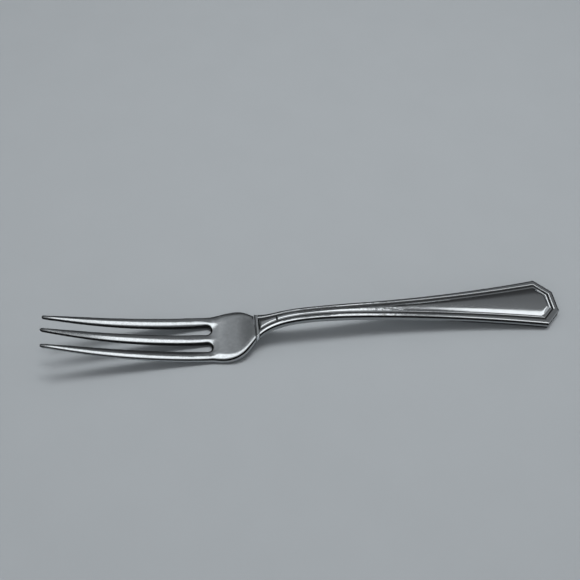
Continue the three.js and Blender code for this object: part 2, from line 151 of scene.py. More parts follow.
def put(name: str, data: bpy.types.ID) -> bpy.types.Object:
    """Put a new object into the scene.

    Args:
        name: The object's name.
        data: Its mesh, lamp or camera.

    Returns:
        The object.
    """
    piece = bpy.data.objects.new(name, data)
    bpy.context.scene.collection.objects.link(piece)
    return piece


@dataclass(frozen=True)
class Spine:
    """Side view of the fork: heights of its top edge at places along its length."""

    places: tuple[float, ...]
    heights: tuple[float, ...]

    def bends(self) -> Array:
        """Solve for the curve's second derivatives.

        Returns:
            The second derivative at each knot, 0 at both ends.
        """
        span = np.diff(self.places)
        slope = np.diff(self.heights) / span
        count = len(self.places)
        system = np.eye(count)
        turn = np.zeros(count)
        for k in range(1, count - 1):
            system[k, k - 1 : k + 2] = span[k - 1], 2 * (span[k - 1] + span[k]), span[k]
            turn[k] = 6 * (slope[k] - slope[k - 1])
        return np.linalg.solve(system, turn)

    def height(self, x: Array) -> Array:
        """Follow a natural cubic curve through the knots.

        Args:
            x: Places along the fork.

        Returns:
            Height of the top edge at each place.
        """
        places = np.array(self.places)
        heights = np.array(self.heights)
        bend = self.bends()
        k = np.clip(np.searchsorted(places, x) - 1, 0, len(places) - 2)
        span = places[k + 1] - places[k]
        a = (places[k + 1] - x) / span
        b = 1.0 - a
        sag = ((a**3 - a) * bend[k] + (b**3 - b) * bend[k + 1]) * span**2 / 6
        return a * heights[k] + b * heights[k + 1] + sag


@dataclass(frozen=True)
class Plan:
    """Sizes that the pieces share, and the fork's outline seen from above."""

    tine_length: float = 45.8 * MM
    palm_length: float = 13.0 * MM
    collar_length: float = 1.1 * MM
    handle_length: float = 90.1 * MM
    corner_length: float = 4.7 * MM
    neck_width: float = 8.5 * MM
    stem_width: float = 3.92 * MM
    handle_width: float = 15.8 * MM
    end_width: float = 6.8 * MM
    flare_from_neck: float = 12.2 * MM
    neck_fade: float = 2.7 * MM
    seam: float = 0.1 * MM
    back_depth: float = 2.35 * MM
    back_radius: float = 0.55 * MM
    wall: float = 0.5 * MM

    @property
    def x_end(self) -> float:
        """End of the handle."""
        return (self.tine_length + self.palm_length + self.collar_length + self.handle_length) / 2

    @property
    def x_tip(self) -> float:
        """Tips of the tines."""
        return -self.x_end

    @property
    def x_root(self) -> float:
        """Roots of the slots between the tines."""
        return self.x_tip + self.tine_length

    @property
    def x_neck(self) -> float:
        """Where the head meets the collar."""
        return self.x_root + self.palm_length

    @property
    def x_handle(self) -> float:
        """Where the collar meets the handle."""
        return self.x_neck + self.collar_length

    @property
    def x_mouth(self) -> float:
        """Where the handle's metal starts, behind the seam."""
        return self.x_handle + self.seam / 2

    @property
    def x_shoulder(self) -> float:
        """Where the cut corners of the handle's end start."""
        return self.x_end - self.corner_length

    def half_width(self, x: Array) -> Array:
        """Give half the width of the handle and the collar.

        Args:
            x: Places along the fork.

        Returns:
            Half the stem's width, with more toward the neck and toward the flared end.
        """
        stem = self.stem_width / 2
        start = self.x_neck + self.flare_from_neck
        flare = np.maximum(0.0, (x - start) / (self.x_shoulder - start)) ** 2
        neck = np.exp((self.x_neck - x) / self.neck_fade)
        return stem + (self.handle_width / 2 - stem) * flare + (self.neck_width / 2 - stem) * neck

    def breadth(self, x: Array) -> Array:
        """Rise from 0 where the handle is as narrow as the stem to 1 where it is broadest."""
        stem = self.stem_width / 2
        return (self.half_width(x) - stem) / (self.handle_width / 2 - stem)

    def widening(self, x: Array) -> Array:
        """Give how fast the half width grows along X."""
        reach = 0.01 * MM
        return (self.half_width(x + reach) - self.half_width(x - reach)) / (2 * reach)

    def spine(self) -> Spine:
        """Draw the side view.

        Returns:
            The curve through the knots, as heights of the top edge above the table.
        """
        knots = (
            (self.x_tip, 15.2 * MM),
            (self.x_tip + 15.0 * MM, 9.45 * MM),
            (self.x_root - 14.8 * MM, 4.95 * MM),
            (self.x_root, 2.55 * MM),
            (self.x_neck - 7.3 * MM, 2.72 * MM),
            (self.x_neck, 5.6 * MM),
            (self.x_neck + 7.2 * MM, 8.75 * MM),
            (self.x_neck + 16.2 * MM, 9.8 * MM),
            (self.x_neck + 36.2 * MM, 8.2 * MM),
            (self.x_end, 2.0 * MM),
        )
        return Spine(tuple(x for x, _ in knots), tuple(z for _, z in knots))


class Graph:
    """A node tree with short calls for adding and joining nodes."""

    def __init__(self, tree: Tree) -> None:
        """Start from a tree, with its nodes taken out."""
        self.tree = tree
        tree.nodes.clear()

    def node(self, kind: str, inputs: dict | None = None, **settings: object) -> bpy.types.Node:
        """Add a node.

        Args:
            kind: The node's type name.
            inputs: A value or another node's output socket for each input, by name or number.
            **settings: Properties of the node itself.

        Returns:
            The new node.
        """
        node = self.tree.nodes.new(kind)
        for name, value in settings.items():
            setattr(node, name, value)
        for key, value in (inputs or {}).items():
            if isinstance(value, Socket):
                self.tree.links.new(value, node.inputs[key])
            else:
                node.inputs[key].default_value = value
        return node

    def math(self, operation: str, *values: float | Socket) -> Socket:
        """Add a math node and give its output."""
        return self.node("ShaderNodeMath", dict(enumerate(values)), operation=operation).outputs[0]

    def ramp(self, value: Socket, low: float, high: float) -> Socket:
        """Add a map from low and high to 0 and 1, clamped, and give its output."""
        inputs = {"Value": value, "From Min": low, "From Max": high}
        return self.node("ShaderNodeMapRange", inputs).outputs["Result"]

    def band(self, value: Socket, rise: Span, fall: Span) -> Socket:
        """Add a rise from 0 to 1 over one stretch and a fall over another, and give its output."""
        return self.math("SUBTRACT", self.ramp(value, *rise), self.ramp(value, *fall))

    def blend(self, share: Socket, first: object, last: object) -> Socket:
        """Add a mix of two colours and give its output."""
        inputs = {"Factor": share, "A": first, "B": last}
        return self.node("ShaderNodeMix", inputs, data_type="RGBA").outputs["Result"]

    def scaled(self, colour: Colour, amount: Socket) -> Socket:
        """Add a colour times an amount and give its output."""
        inputs = {0: colour, "Scale": amount}
        return self.node("ShaderNodeVectorMath", inputs, operation="SCALE").outputs[0]

    def noise(self, coords: Socket, scale: float, detail: float) -> Socket:
        """Add a noise of a given fineness and give its value."""
        inputs = {"Vector": coords, "Scale": scale, "Detail": detail}
        return self.node("ShaderNodeTexNoise", inputs).outputs[0]

    def streaks(self, coords: Socket, scale: Triple, detail: float, degrees: float = 0.0) -> Socket:
        """Add a noise that is stretched by its own scale along each axis.

        Args:
            coords: Where the noise is read.
            scale: Its scale along X, Y and Z.
            detail: How many finer layers it has.
            degrees: A turn about Z.

        Returns:
            The noise's value.
        """
        turn = (0.0, 0.0, math.radians(degrees))
        mapped = self.node("ShaderNodeMapping", {"Vector": coords, "Rotation": turn, "Scale": scale})
        return self.noise(mapped.outputs[0], 1.0, detail)

    def bump(
        self,
        height: Socket,
        depth: float,
        strength: float | Socket = 1.0,
        under: Socket | None = None,
        invert: bool = False,
    ) -> Socket:
        """Add relief to a surface.

        Args:
            height: The relief's height, from 0 to 1.
            depth: What a height of 1 measures.
            strength: How much of the relief shows.
            under: The normal of relief that lies under this one.
            invert: Whether the relief is cut in.

        Returns:
            The bent normal.
        """
        inputs = {"Height": height, "Strength": strength, "Distance": depth}
        if under is not None:
            inputs["Normal"] = under
        return self.node("ShaderNodeBump", inputs, invert=invert).outputs[0]

    def surface(self, inputs: dict) -> None:
        """End a material in one shader."""
        shader = self.node("ShaderNodeBsdfPrincipled", inputs)
        self.node("ShaderNodeOutputMaterial", {"Surface": shader.outputs[0]})


def open_material(name: str) -> tuple[Material, Graph, Socket]:
    """Start a node material.

    Args:
        name: The material's name.

    Returns:
        The material, its tree to fill, and the Object coordinates in it.
    """
    material = bpy.data.materials.new(name)
    material.use_nodes = True
    graph = Graph(material.node_tree)
    return material, graph, graph.node("ShaderNodeTexCoord").outputs["Object"]


def open_tree(name: str, inputs: dict[str, str]) -> tuple[Graph, bpy.types.NodeOutputs]:
    """Start a geometry node tree.

    Args:
        name: The tree's name.
        inputs: Socket type of each named input.

    Returns:
        The tree to fill, and the sockets that its inputs come from.
    """
    tree = bpy.data.node_groups.new(name, "GeometryNodeTree")
    for label, kind in inputs.items():
        tree.interface.new_socket(name=label, in_out="INPUT", socket_type=kind)
    tree.interface.new_socket(name="Piece", in_out="OUTPUT", socket_type="NodeSocketGeometry")
    graph = Graph(tree)
    return graph, graph.node("NodeGroupInput").outputs


def close_tree(graph: Graph, shape: Socket, finish: Socket) -> Tree:
    """End a geometry node tree with plain geometry in one finish.

    Args:
        graph: The tree.
        shape: The geometry that it has made.
        finish: The material.

    Returns:
        The finished tree.
    """
    plain = graph.node("GeometryNodeRealizeInstances", {"Geometry": shape})
    dressed = graph.node("GeometryNodeSetMaterial", {"Geometry": plain.outputs[0], "Material": finish})
    graph.node("NodeGroupOutput", {"Piece": dressed.outputs[0]})
    return graph.tree


def apply_tree(piece: Piece, tree: Tree, values: dict[str, object]) -> None:
    """Run a geometry node tree on a piece and keep the result as a plain mesh.

    Args:
        piece: The object that the tree starts from.
        tree: The tree.
        values: A value for each named input of the tree.
    """
    modifier = piece.modifiers.new(tree.name, "NODES")
    modifier.node_group = tree
    sockets = {item.name: item.identifier for item in tree.interface.items_tree}
    for name, value in values.items():
        modifier[sockets[name]] = value
    depsgraph = bpy.context.evaluated_depsgraph_get()
    evaluated = piece.evaluated_get(depsgraph)
    mesh = bpy.data.meshes.new_from_object(evaluated, preserve_all_data_layers=True, depsgraph=depsgraph)
    mesh.name = piece.name
    piece.modifiers.remove(modifier)
    piece.data = mesh
    mesh.shade_smooth()
    mesh.set_sharp_from_angle(angle=CREASE)


class Blank:
    """A piece drawn flat: points over the plan, with heights above the spine."""

    def __init__(self) -> None:
        """Start with no points and no faces."""
        self.points: list[Array] = []
        self.tarnish: list[Array] = []
        self.faces: list[tuple[int, ...]] = []
        self.count = 0

    def add(self, x: Array, y: Array, height: Array, tarnish: float | Array = 0.0) -> Array:
        """Add points.

        Args:
            x: Places along the fork.
            y: Places across it.
            height: Heights above the spine.
            tarnish: How dark the metal is made there, from 0 to 1: tarnish in hollows and painted shade.

        Returns:
            The points' numbers, in the shape of the places.
        """
        x, y, height, tarnish = np.broadcast_arrays(x, y, height, tarnish)
        self.points.append(np.stack([x, y, height], -1).reshape(-1, 3))
        self.tarnish.append(np.asarray(tarnish, float).reshape(-1))
        first = self.count
        self.count += x.size
        return np.arange(first, self.count).reshape(x.shape)

    def strip(self, row: Sequence[int], after: Sequence[int]) -> None:
        """Add quads between two rows of equal length, or triangles where the rows meet.

        Args:
            row: The first row's numbers.
            after: The second row's numbers.
        """
        for k in range(len(row) - 1):
            corners = dict.fromkeys((row[k], row[k + 1], after[k + 1], after[k]))
            if len(corners) > 2:
                self.faces.append(tuple(corners))

    def rows(self, numbers: Sequence[Sequence[int]]) -> None:
        """Add quads between each row and the next."""
        for row, after in zip(numbers, numbers[1:]):
            self.strip(row, after)

    def tube(self, loops: Sequence[Sequence[int]]) -> None:
        """Add quads between closed loops, and flat faces over the first and the last."""
        self.rows([[*loop, loop[0]] for loop in loops])
        self.faces.extend([tuple(loops[0]), tuple(loops[-1])])

    def piece(self, name: str) -> Piece:
        """Make an object of the points and faces.

        Args:
            name: The piece's name.

        Returns:
            The object, with faces pointing outward and its tarnish and painted shade as an attribute.
        """
        mesh = bpy.data.meshes.new(name)
        faces = [tuple(int(k) for k in face) for face in self.faces]
        mesh.from_pydata(np.concatenate(self.points).tolist(), [], faces)
        shade = mesh.attributes.new(TARNISH_AND_SHADE, "FLOAT", "POINT")
        shade.data.foreach_set("value", np.concatenate(self.tarnish).astype(np.float32))
        form = bmesh.new()
        form.from_mesh(mesh)
        bmesh.ops.recalc_face_normals(form, faces=form.faces)
        form.to_mesh(mesh)
        form.free()
        return put(name, mesh)


class SpineBend:
    """Bends flat pieces along the spine, and wears them flat where they rest on the table."""

    def __init__(self, plan: Plan, steps: int = 1200) -> None:
        """Draw the spine as a row of points and build the tree that follows it.

        Args:
            plan: The fork's sizes.
            steps: How many stretches the row has.
        """
        self.start = plan.x_tip
        self.end = plan.x_end
        self.steps = steps
        x = np.linspace(self.start, self.end, steps + 1)
        points = np.stack([x, np.zeros_like(x), plan.spine().height(x)], -1)
        mesh = bpy.data.meshes.new("spine_points")
        mesh.from_pydata(points.tolist(), [], [])
        self.row = put("spine_points", mesh)
        self.tree = self.build_tree()

    def build_tree(self) -> Tree:
        """Build the tree that bends a piece.

        Returns:
            The tree: each point rises by the spine's height at its place, but stays on the table.
        """
        kinds = {
            "Blank": "NodeSocketGeometry",
            "Spine": "NodeSocketObject",
            "Start": "NodeSocketFloat",
            "End": "NodeSocketFloat",
            "Steps": "NodeSocketInt",
            "Table height": "NodeSocketFloat",
            "Finish": "NodeSocketMaterial",
        }
        graph, given = open_tree("spine_bend", kinds)
        place = graph.node("GeometryNodeInputPosition").outputs[0]
        axes = graph.node("ShaderNodeSeparateXYZ", {0: place}).outputs
        inputs = {
            "Value": axes["X"],
            "From Min": given["Start"],
            "From Max": given["End"],
            "To Max": given["Steps"],
        }
        step = graph.node("ShaderNodeMapRange", inputs).outputs["Result"]
        last = graph.math("SUBTRACT", given["Steps"], 1.0)
        low = graph.math("MINIMUM", graph.math("FLOOR", step), last)
        spine = graph.node("GeometryNodeObjectInfo", {"Object": given["Spine"]}).outputs["Geometry"]
        ends = []
        for index in (low, graph.math("ADD", low, 1.0)):
            inputs = {"Geometry": spine, "Value": place, "Index": index}
            found = graph.node("GeometryNodeSampleIndex", inputs, data_type="FLOAT_VECTOR")
            ends.append(graph.node("ShaderNodeSeparateXYZ", {0: found.outputs[0]}).outputs["Z"])
        share = graph.math("SUBTRACT", step, low)
        rise = graph.math("MULTIPLY_ADD", graph.math("SUBTRACT", ends[1], ends[0]), share, ends[0])
        height = graph.math("MAXIMUM", graph.math("ADD", axes["Z"], rise), given["Table height"])
        moved = graph.node("ShaderNodeCombineXYZ", {"X": axes["X"], "Y": axes["Y"], "Z": height}).outputs[0]
        bent = graph.node("GeometryNodeSetPosition", {"Geometry": given["Blank"], "Position": moved})
        return close_tree(graph, bent.outputs[0], given["Finish"])

    def bend(self, piece: Piece, finish: Material) -> None:
        """Bend a flat piece and give it its finish.

        Args:
            piece: The flat piece.
            finish: Its material.
        """
        values = {
            "Spine": self.row,
            "Start": self.start,
            "End": self.end,
            "Steps": self.steps,
            "Table height": 0.0,
            "Finish": finish,
        }
        apply_tree(piece, self.tree, values)

    def clear(self) -> None:
        """Take the row of spine points out of the scene."""
        bpy.data.objects.remove(self.row)


def settle(piece: Piece, slot: Slot, *nodes: str) -> None:
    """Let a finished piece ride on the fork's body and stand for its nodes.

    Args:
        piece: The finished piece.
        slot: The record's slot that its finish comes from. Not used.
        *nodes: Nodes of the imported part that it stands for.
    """
    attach(piece, BODY)
    if nodes:
        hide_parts(*nodes)
    log.info("%s: %d faces, stands for %s", piece.name, len(piece.data.polygons), nodes or "itself")


@dataclass(frozen=True)
class SilverFinish:
    """Silver plate with dents, hairline scratches, pits, tarnish in its hollows, and painted shade on walls,
    edges and tips.
    """

    name: str
    base: Colour
    roughness: float
    satin: float = 0.0
    satin_from: float = -33.0 * MM
    satin_full: float = -26.0 * MM
    blotch: float = 0.08
    blotch_scale: float = 190.0
    mottle: float = 0.3
    mottle_scale: float = 1400.0
    dent: float = 0.012 * MM
    dent_scale: Triple = (110.0, 420.0, 300.0)
    scratch: float = 0.004 * MM
    hairline: float = 0.25
    hairline_rough: float = 0.06
    hairline_scale: Triple = (240.0, 5200.0, 900.0)
    hairline_range: Span = (0.68, 0.76)
    hairline_turns: Triple = (12.0, -31.0, 74.0)
    brushed: float = 0.2
    brushed_scale: Triple = (120.0, 9000.0, 5000.0)
    # Colour of the darkening: tarnish in hollows and painted shade on walls, edges and tips.
    tarnish: Colour = (0.011, 0.0107, 0.0104)
    dark_rough: float = 0.3
    dark_grain: float = 0.3
    dark_grain_scale: float = 3200.0
    pit: float = 0.7
    pit_scale: float = 420.0
    pit_size: Span = (0.04, 0.1)
    pit_rarity: Span = (0.8, 0.84)
    wear: float = 0.0
    wear_scale: Triple = (420.0, 900.0, 900.0)
    wear_from: Span = (-12.0 * MM, 4.0 * MM)
    wear_to: Span = (24.0 * MM, 34.0 * MM)
    least_rough: float = 0.03

    def material(self) -> Material:
        """Build the finish as a node material.

        Returns:
            The material.
        """
        material, graph, coords = open_material(self.name)
        along = graph.node("ShaderNodeSeparateXYZ", {0: coords}).outputs["X"]
        hair = self.hairlines(graph, coords)
        # Darkening from the mesh: tarnish in hollows and painted shade, with dark pits.
        dark = self.patina_and_shade(graph, coords)
        satin = graph.ramp(along, self.satin_from, self.satin_full)
        clouds = graph.noise(coords, self.blotch_scale, detail=4.0)
        rough = graph.math("MULTIPLY_ADD", graph.math("SUBTRACT", clouds, 0.5), self.blotch, self.roughness)
        for amount, share in ((satin, self.satin), (hair, self.hairline_rough), (dark, self.dark_rough)):
            rough = graph.math("MULTIPLY_ADD", amount, share, rough)
        specks = graph.noise(coords, self.mottle_scale, detail=4.0)
        mottle = graph.math("MULTIPLY_ADD", specks, self.mottle, 1.0 - self.mottle / 2)
        inputs = {
            "Base Color": graph.blend(dark, graph.scaled(self.base, mottle), (*self.tarnish, 1.0)),
            "Metallic": 1.0,
            "Roughness": graph.math("MAXIMUM", rough, self.least_rough),
            "Normal": self.relief(graph, coords, hair),
        }
        graph.surface(inputs)
        return material

    def patina_and_shade(self, graph: Graph, coords: Socket) -> Socket:
        """Add the darkening that the mesh carries (tarnish in hollows and painted shade), uneven, and
        scattered dark pits.

        Args:
            graph: The material's tree.
            coords: Object coordinates.

        Returns:
            How dark the metal is, from 0 to 1.
        """
        grain = graph.noise(coords, self.dark_grain_scale, detail=3.0)
        uneven = graph.math("MULTIPLY_ADD", grain, self.dark_grain, 1.0 - self.dark_grain / 2)
        dark = graph.node("ShaderNodeAttribute", attribute_name=TARNISH_AND_SHADE).outputs["Fac"]
        dark = graph.math("MULTIPLY", dark, uneven)
        cells = graph.node("ShaderNodeTexVoronoi", {"Vector": coords, "Scale": self.pit_scale}).outputs
        spot = graph.math("SUBTRACT", 1.0, graph.ramp(cells["Distance"], *self.pit_size))
        rare = graph.ramp(cells["Color"], *self.pit_rarity)
        pits = graph.math("MULTIPLY", graph.math("MULTIPLY", spot, rare), self.pit)
        return graph.math("MINIMUM", graph.math("MAXIMUM", dark, pits), 1.0)

    def relief(self, graph: Graph, coords: Socket, hair: Socket) -> Socket:
        """Add shallow dents, a worn stretch, polishing lines and scratches.

        Args:
            graph: The material's tree.
            coords: Object coordinates.
            hair: Where the scratches are.

        Returns:
            The bent normal.
        """
        along = graph.node("ShaderNodeSeparateXYZ", {0: coords}).outputs["X"]
        worn = graph.band(along, self.wear_from, self.wear_to)
        normal = graph.bump(graph.streaks(coords, self.dent_scale, detail=2.0), self.dent)
        normal = graph.bump(graph.streaks(coords, self.wear_scale, detail=2.0), self.wear, worn, normal)
        lines = graph.streaks(coords, self.brushed_scale, detail=3.0)
        normal = graph.bump(lines, self.scratch, self.brushed, normal)
        return graph.bump(hair, self.scratch, self.hairline, normal, invert=True)

    def hairlines(self, graph: Graph, coords: Socket) -> Socket:
        """Add sparse scratches in several directions.

        Args:
            graph: The material's tree.
            coords: Object coordinates.

        Returns:
            1 on a scratch and 0 off it.
        """
        most: float | Socket = 0.0
        for degrees in self.hairline_turns:
            noise = graph.streaks(coords, self.hairline_scale, 1.0, degrees)
            most = graph.math("MAXIMUM", most, graph.ramp(noise, *self.hairline_range))
        return most


@dataclass(frozen=True)
class CementFinish:
    """The dull grey core inside the handle."""

    name: str = "cement_core"
    pale: Colour = (0.55, 0.52, 0.47)
    dark: Colour = (0.38, 0.36, 0.33)
    roughness: float = 0.9
    grain_scale: float = 900.0
    grain_depth: float = 0.05 * MM
    grain_strength: float = 0.5

    def material(self) -> Material:
        """Build the finish as a node material.

        Returns:
            The material.
        """
        material, graph, coords = open_material(self.name)
        grain = graph.noise(coords, self.grain_scale, detail=6.0)
        inputs = {
            "Base Color": graph.blend(grain, (*self.dark, 1.0), (*self.pale, 1.0)),
            "Roughness": self.roughness,
            "Normal": graph.bump(grain, self.grain_depth, self.grain_strength),
        }
        graph.surface(inputs)
        return material


@dataclass(frozen=True)
class Tang:
    """The notched bar that the handle's core grips."""

    half_width: float = 0.9 * MM
    top: float = -0.3 * MM
    thickness: float = 0.9 * MM
    reach: float = 48.0 * MM
    notch_depth: float = 0.2 * MM
    notch_length: float = 2.5 * MM
    notches: int = 4
    steps: int = 24

    def draw(self, blank: Blank, plan: Plan) -> None:
        """Draw the bar from the neck into the handle.

        Args:
            blank: The head that it belongs to.
            plan: The fork's sizes.
        """
        end = plan.x_neck + self.reach
        x_notch = end - (2 * self.notches + 1) * self.notch_length
        plain = np.linspace(plan.x_neck - plan.seam / 2, x_notch, self.steps)
        places = [(x, self.half_width) for x in plain]
        for k in range(2 * self.notches):
            width = self.half_width - self.notch_depth * (k % 2 == 0)
            places.append((x_notch + k * self.notch_length + self.notch_depth, width))
            places.append((x_notch + (k + 1) * self.notch_length, width))
        places.append((end, self.half_width))
        low = self.top - self.thickness
        height = np.array([low, self.top, self.top, low])
        side = np.array([1.0, 1.0, -1.0, -1.0])
        blank.tube([blank.add(np.full(4, x), side * width, height) for x, width in places])


@dataclass
class ForkHead:
    """Three tines, the cupped palm, and the tang that runs on inside the handle."""

    plan: Plan
    tang: Tang = Tang()
    width: float = 16.5 * MM
    widest_from_neck: float = 8.1 * MM
    shoulder_reach: float = 5.0 * MM
    neck_reach: float = 1.8 * MM
    neck_square: float = 3.0 * MM
    root_width: float = 3.3 * MM
    tip_width: float = 1.05 * MM
    tip_pitch: float = 4.58 * MM
    slot_width: float = 2.6 * MM
    taper: float = 3.5
    tip_round: float = 0.56 * MM
    brim_thickness: float = 2.3 * MM
    neck_thickness: float = 2.35 * MM
    tip_thickness: float = 1.0 * MM
    cup_depth: float = 0.6 * MM
    back_cup_depth: float = 0.35 * MM
    tip_lift: float = 1.0 * MM
    edge_radius: float = 0.45 * MM
    palm_edge_radius: float = 0.9 * MM
    edge_share: float = 0.55
    soft_drop: float = 0.3 * MM
    back_drop: float = 0.18 * MM
    soft_power: float = 1.3
    worn_power: float = 1.9
    outer_soft: float = 1.6
    slot_soft: float = 1.1
    root_soft: float = 1.5
    palm_tilt: float = 0.21
    palm_even: float = 0.6
    root_reach: float = 2.9 * MM
    neck_soft_reach: float = 1.8 * MM
    reach_margin: float = 1.0 * MM
    swell_from_root: float = -6.0 * MM
    swell_to_root: float = 3.0 * MM
    # Darkening of the edges: tarnish and painted shade along the slots, painted shade along the outer edge
    # and at the tips.
    slot_patina_and_shade: float = 1.0
    edge_shade: float = 0.4
    dark_fade_power: int = 4
    tip_shade: float = 0.8
    tip_shade_length: float = 3.5 * MM
    # A painted dark line of shade along the middle of the rounded edge.
    front_shade_line: Span = (0.45, 0.7)
    back_shade_line: Span = (0.2, 0.4)
    shade_line_end: float = 0.93
    shoulder_steps: int = 48
    swell_steps: int = 16
    tine_steps: int = 110
    outer_steps: int = 114
    tip_steps: int = 23
    slot_steps: int = 25
    edge_steps: int = 9
    neck_steps: int = 22
    inner_rings: tuple[float, ...] = (0.2, 0.4, 0.6, 0.76)
    grid: float = 0.42 * MM
    grid_row: float = 0.87
    grid_clear: float = 0.6

    def to_tip(self, x: Array) -> Array:
        """Give the share of the way from the slot roots to the tips."""
        return (self.plan.x_root - x) / self.plan.tine_length

    def tine_half(self, x: Array) -> Array:
        """Give half the width of a tine."""
        return mix(self.root_width, self.tip_width, np.maximum(0.0, self.to_tip(x)) ** self.taper) / 2

    def pitch(self, x: Array) -> Array:
        """Give the distance of an outer tine's middle line from the fork's."""
        return mix(self.root_width + self.slot_width, self.tip_pitch, self.to_tip(x))

    def to_neck(self, x: Array) -> Array:
        """Rise from 0 at the slot roots to 1 at the neck."""
        return ease(x, self.plan.x_root, self.plan.x_neck)

    def thickness(self, x: Array) -> Array:
        """Give the metal's thickness at the brim.

        Args:
            x: Places along the fork.

        Returns:
            The thickness at each place.
        """
        tines = mix(self.brim_thickness, self.tip_thickness, self.to_tip(x))
        palm = mix(self.brim_thickness, self.neck_thickness, self.to_neck(x))
        return np.where(x < self.plan.x_root, tines, palm)

    def cup(self, x: Array, depth: float) -> Array:
        """Give how far a face's middle lies below its edges."""
        tines = depth * (1.0 - self.to_tip(x) ** 2)
        return np.where(x < self.plan.x_root, tines, depth * (1.0 - self.to_neck(x)))

    def tine_line(self, x: Array, y: Array) -> Array:
        """Give where across the fork the nearest tine's middle line lies."""
        return np.where(np.abs(y) > self.pitch(x) / 2, np.sign(y) * self.pitch(x), 0.0)

    def lift(self, x: Array, y: Array) -> Array:
        """Give how far a tine rises over the spine toward its tip, the middle one most."""
        share = np.maximum(0.0, self.to_tip(x)) ** 2
        return self.tip_lift * share * (1.0 - (self.tine_line(x, y) / self.brim(x)) ** 2)

    def palm_edge(self) -> Array:
        """Draw the +Y edge of the palm.

        Returns:
            Its points from the neck to the slot roots.
        """
        plan = self.plan
        root = (plan.x_root, self.pitch(plan.x_root) + self.root_width / 2)
        widest = (plan.x_neck - self.widest_from_neck, self.width / 2)
        neck = (plan.x_neck - plan.seam / 2, plan.neck_width / 2)
        fall = (plan.neck_width - plan.stem_width) / 2 / plan.neck_fade
        lean = (neck[0] - self.neck_reach, neck[1] + fall * self.neck_reach)
        bulge = (widest[0] + self.shoulder_reach, widest[1])
        shoulder = bezier((neck, lean, bulge, widest), self.shoulder_steps)
        third = (widest[0] - root[0]) / 3
        swell = ((widest[0] - third, widest[1]), (root[0] + third, mix(root[1], widest[1], 1 / 3)))
        return np.concatenate([shoulder, bezier((widest, *swell, root), self.swell_steps)[1:]])

    def half_outline(self) -> tuple[Array, Array, int]:
        """Draw the +Y half of the head's outline, from the neck to the middle tip.

        Returns:
            The outline's points, its darkening (tarnish and painted shade along the slots, painted shade
            along the outer edge), and how many points lie on the outer edge.
        """
        plan = self.plan
        radius = self.slot_width / 2
        palm = self.palm_edge()
        x_round = plan.x_tip + self.tip_round
        run = np.linspace(plan.x_root - radius, x_round, self.tine_steps)
        turn = np.linspace(0.0, math.pi, self.tip_steps)[1:-1]
        tip = np.stack([x_round - self.tip_round * np.sin(turn), self.tine_half(x_round) * np.cos(turn)], -1)
        outer_run = np.linspace(plan.x_root, x_round, self.outer_steps)[1:]
        outer = np.stack([outer_run, self.pitch(outer_run) + self.tine_half(outer_run)], -1)
        far_tip = tip + np.array([0.0, self.pitch(x_round)])
        inner = np.stack([run[::-1], (self.pitch(run) - self.tine_half(run))[::-1]], -1)
        bow = np.linspace(math.pi / 2, -math.pi / 2, self.slot_steps)[1:-1]
        x_bow = plan.x_root - radius + radius * np.cos(bow)
        gap = self.pitch(x_bow) / 2 - self.tine_half(x_bow)
        slot = np.stack([x_bow, self.pitch(x_bow) / 2 + gap * np.sin(bow)], -1)
        middle = np.stack([run, self.tine_half(run)], -1)
        apex = np.array([[plan.x_tip, 0.0]])
        points = np.concatenate([palm, outer, far_tip, inner, slot, middle, tip[: len(tip) // 2], apex])
        outside = len(palm) + len(outer) + len(far_tip) // 2
        # Slot edges are darkened for tarnish and painted shade, the outer edge more lightly for painted
        # shade.
        patina_and_shade = np.full(len(points), self.slot_patina_and_shade)
        patina_and_shade[:outside] = self.edge_shade
        return points, patina_and_shade, outside

    def outline(self) -> tuple[Array, Array, Array]:
        """Draw the whole outline, anticlockwise from the neck's +Y corner to its -Y corner.

        Returns:
            Its points, the directions inward, and the darkening: tarnish and painted shade.
        """
        half, patina_and_shade, _ = self.half_outline()
        points = np.concatenate([half, half[-2::-1] * MIRROR])
        patina_and_shade = np.concatenate([patina_and_shade, patina_and_shade[-2::-1]])
        along = np.gradient(points, axis=0)
        inward = np.stack([-along[:, 1], along[:, 0]], -1)
        inward /= np.linalg.norm(inward, axis=1, keepdims=True)
        x_neck = self.plan.x_neck
        square = ease(points[:, 0], x_neck - self.neck_square, x_neck - self.plan.seam / 2)[:, None]
        across = np.stack([np.zeros(len(points)), -np.sign(points[:, 1])], -1)
        inward = mix(inward, across, square)
        return points, inward / np.linalg.norm(inward, axis=1, keepdims=True), patina_and_shade

    def swell(self, x: Array) -> Array:
        """Rise from 0 along the tines to 1 along the palm, where the softened edge is wider."""
        x_root = self.plan.x_root
        return ease(x, x_root + self.swell_from_root, x_root + self.swell_to_root)

    def reach(self, x: Array) -> Array:
        """Give how far in the softened edge of a tine reaches."""
        return self.tine_half(np.maximum(x, self.plan.x_tip + self.tip_round))

    def palm_reach(self, x: Array) -> Array:
        """Give how far in the softened edge of the palm reaches, narrower toward the neck."""
        start, end = self.plan.x_root + self.reach_margin, self.plan.x_neck - self.reach_margin
        return mix(self.root_reach, self.neck_soft_reach, ease(x, start, end))

    def palm_roll(self, x: Array) -> Array:
        """Give the fall of the palm's edge that undoes the cup's slope there and tilts it outward."""
        tilt = self.palm_tilt + 2.0 * self.cup(x, self.cup_depth) / self.brim(x)
        return tilt * self.palm_reach(x) * (1.0 + self.palm_even) / 2.0

    def palm_fall(self, share: Array) -> Array:
        """Give the shape of the palm's softened edge.

        Args:
            share: 0 on the outline, 1 where the softened edge ends.

        Returns:
            A fall from 1 to 0, first at an even slope and then fading.
        """
        slope = 2.0 / (1.0 + self.palm_even)
        fading = slope * (1.0 - share) ** 2 / (2.0 * (1.0 - self.palm_even))
        return np.where(share < self.palm_even, 1.0 - slope * share, fading)

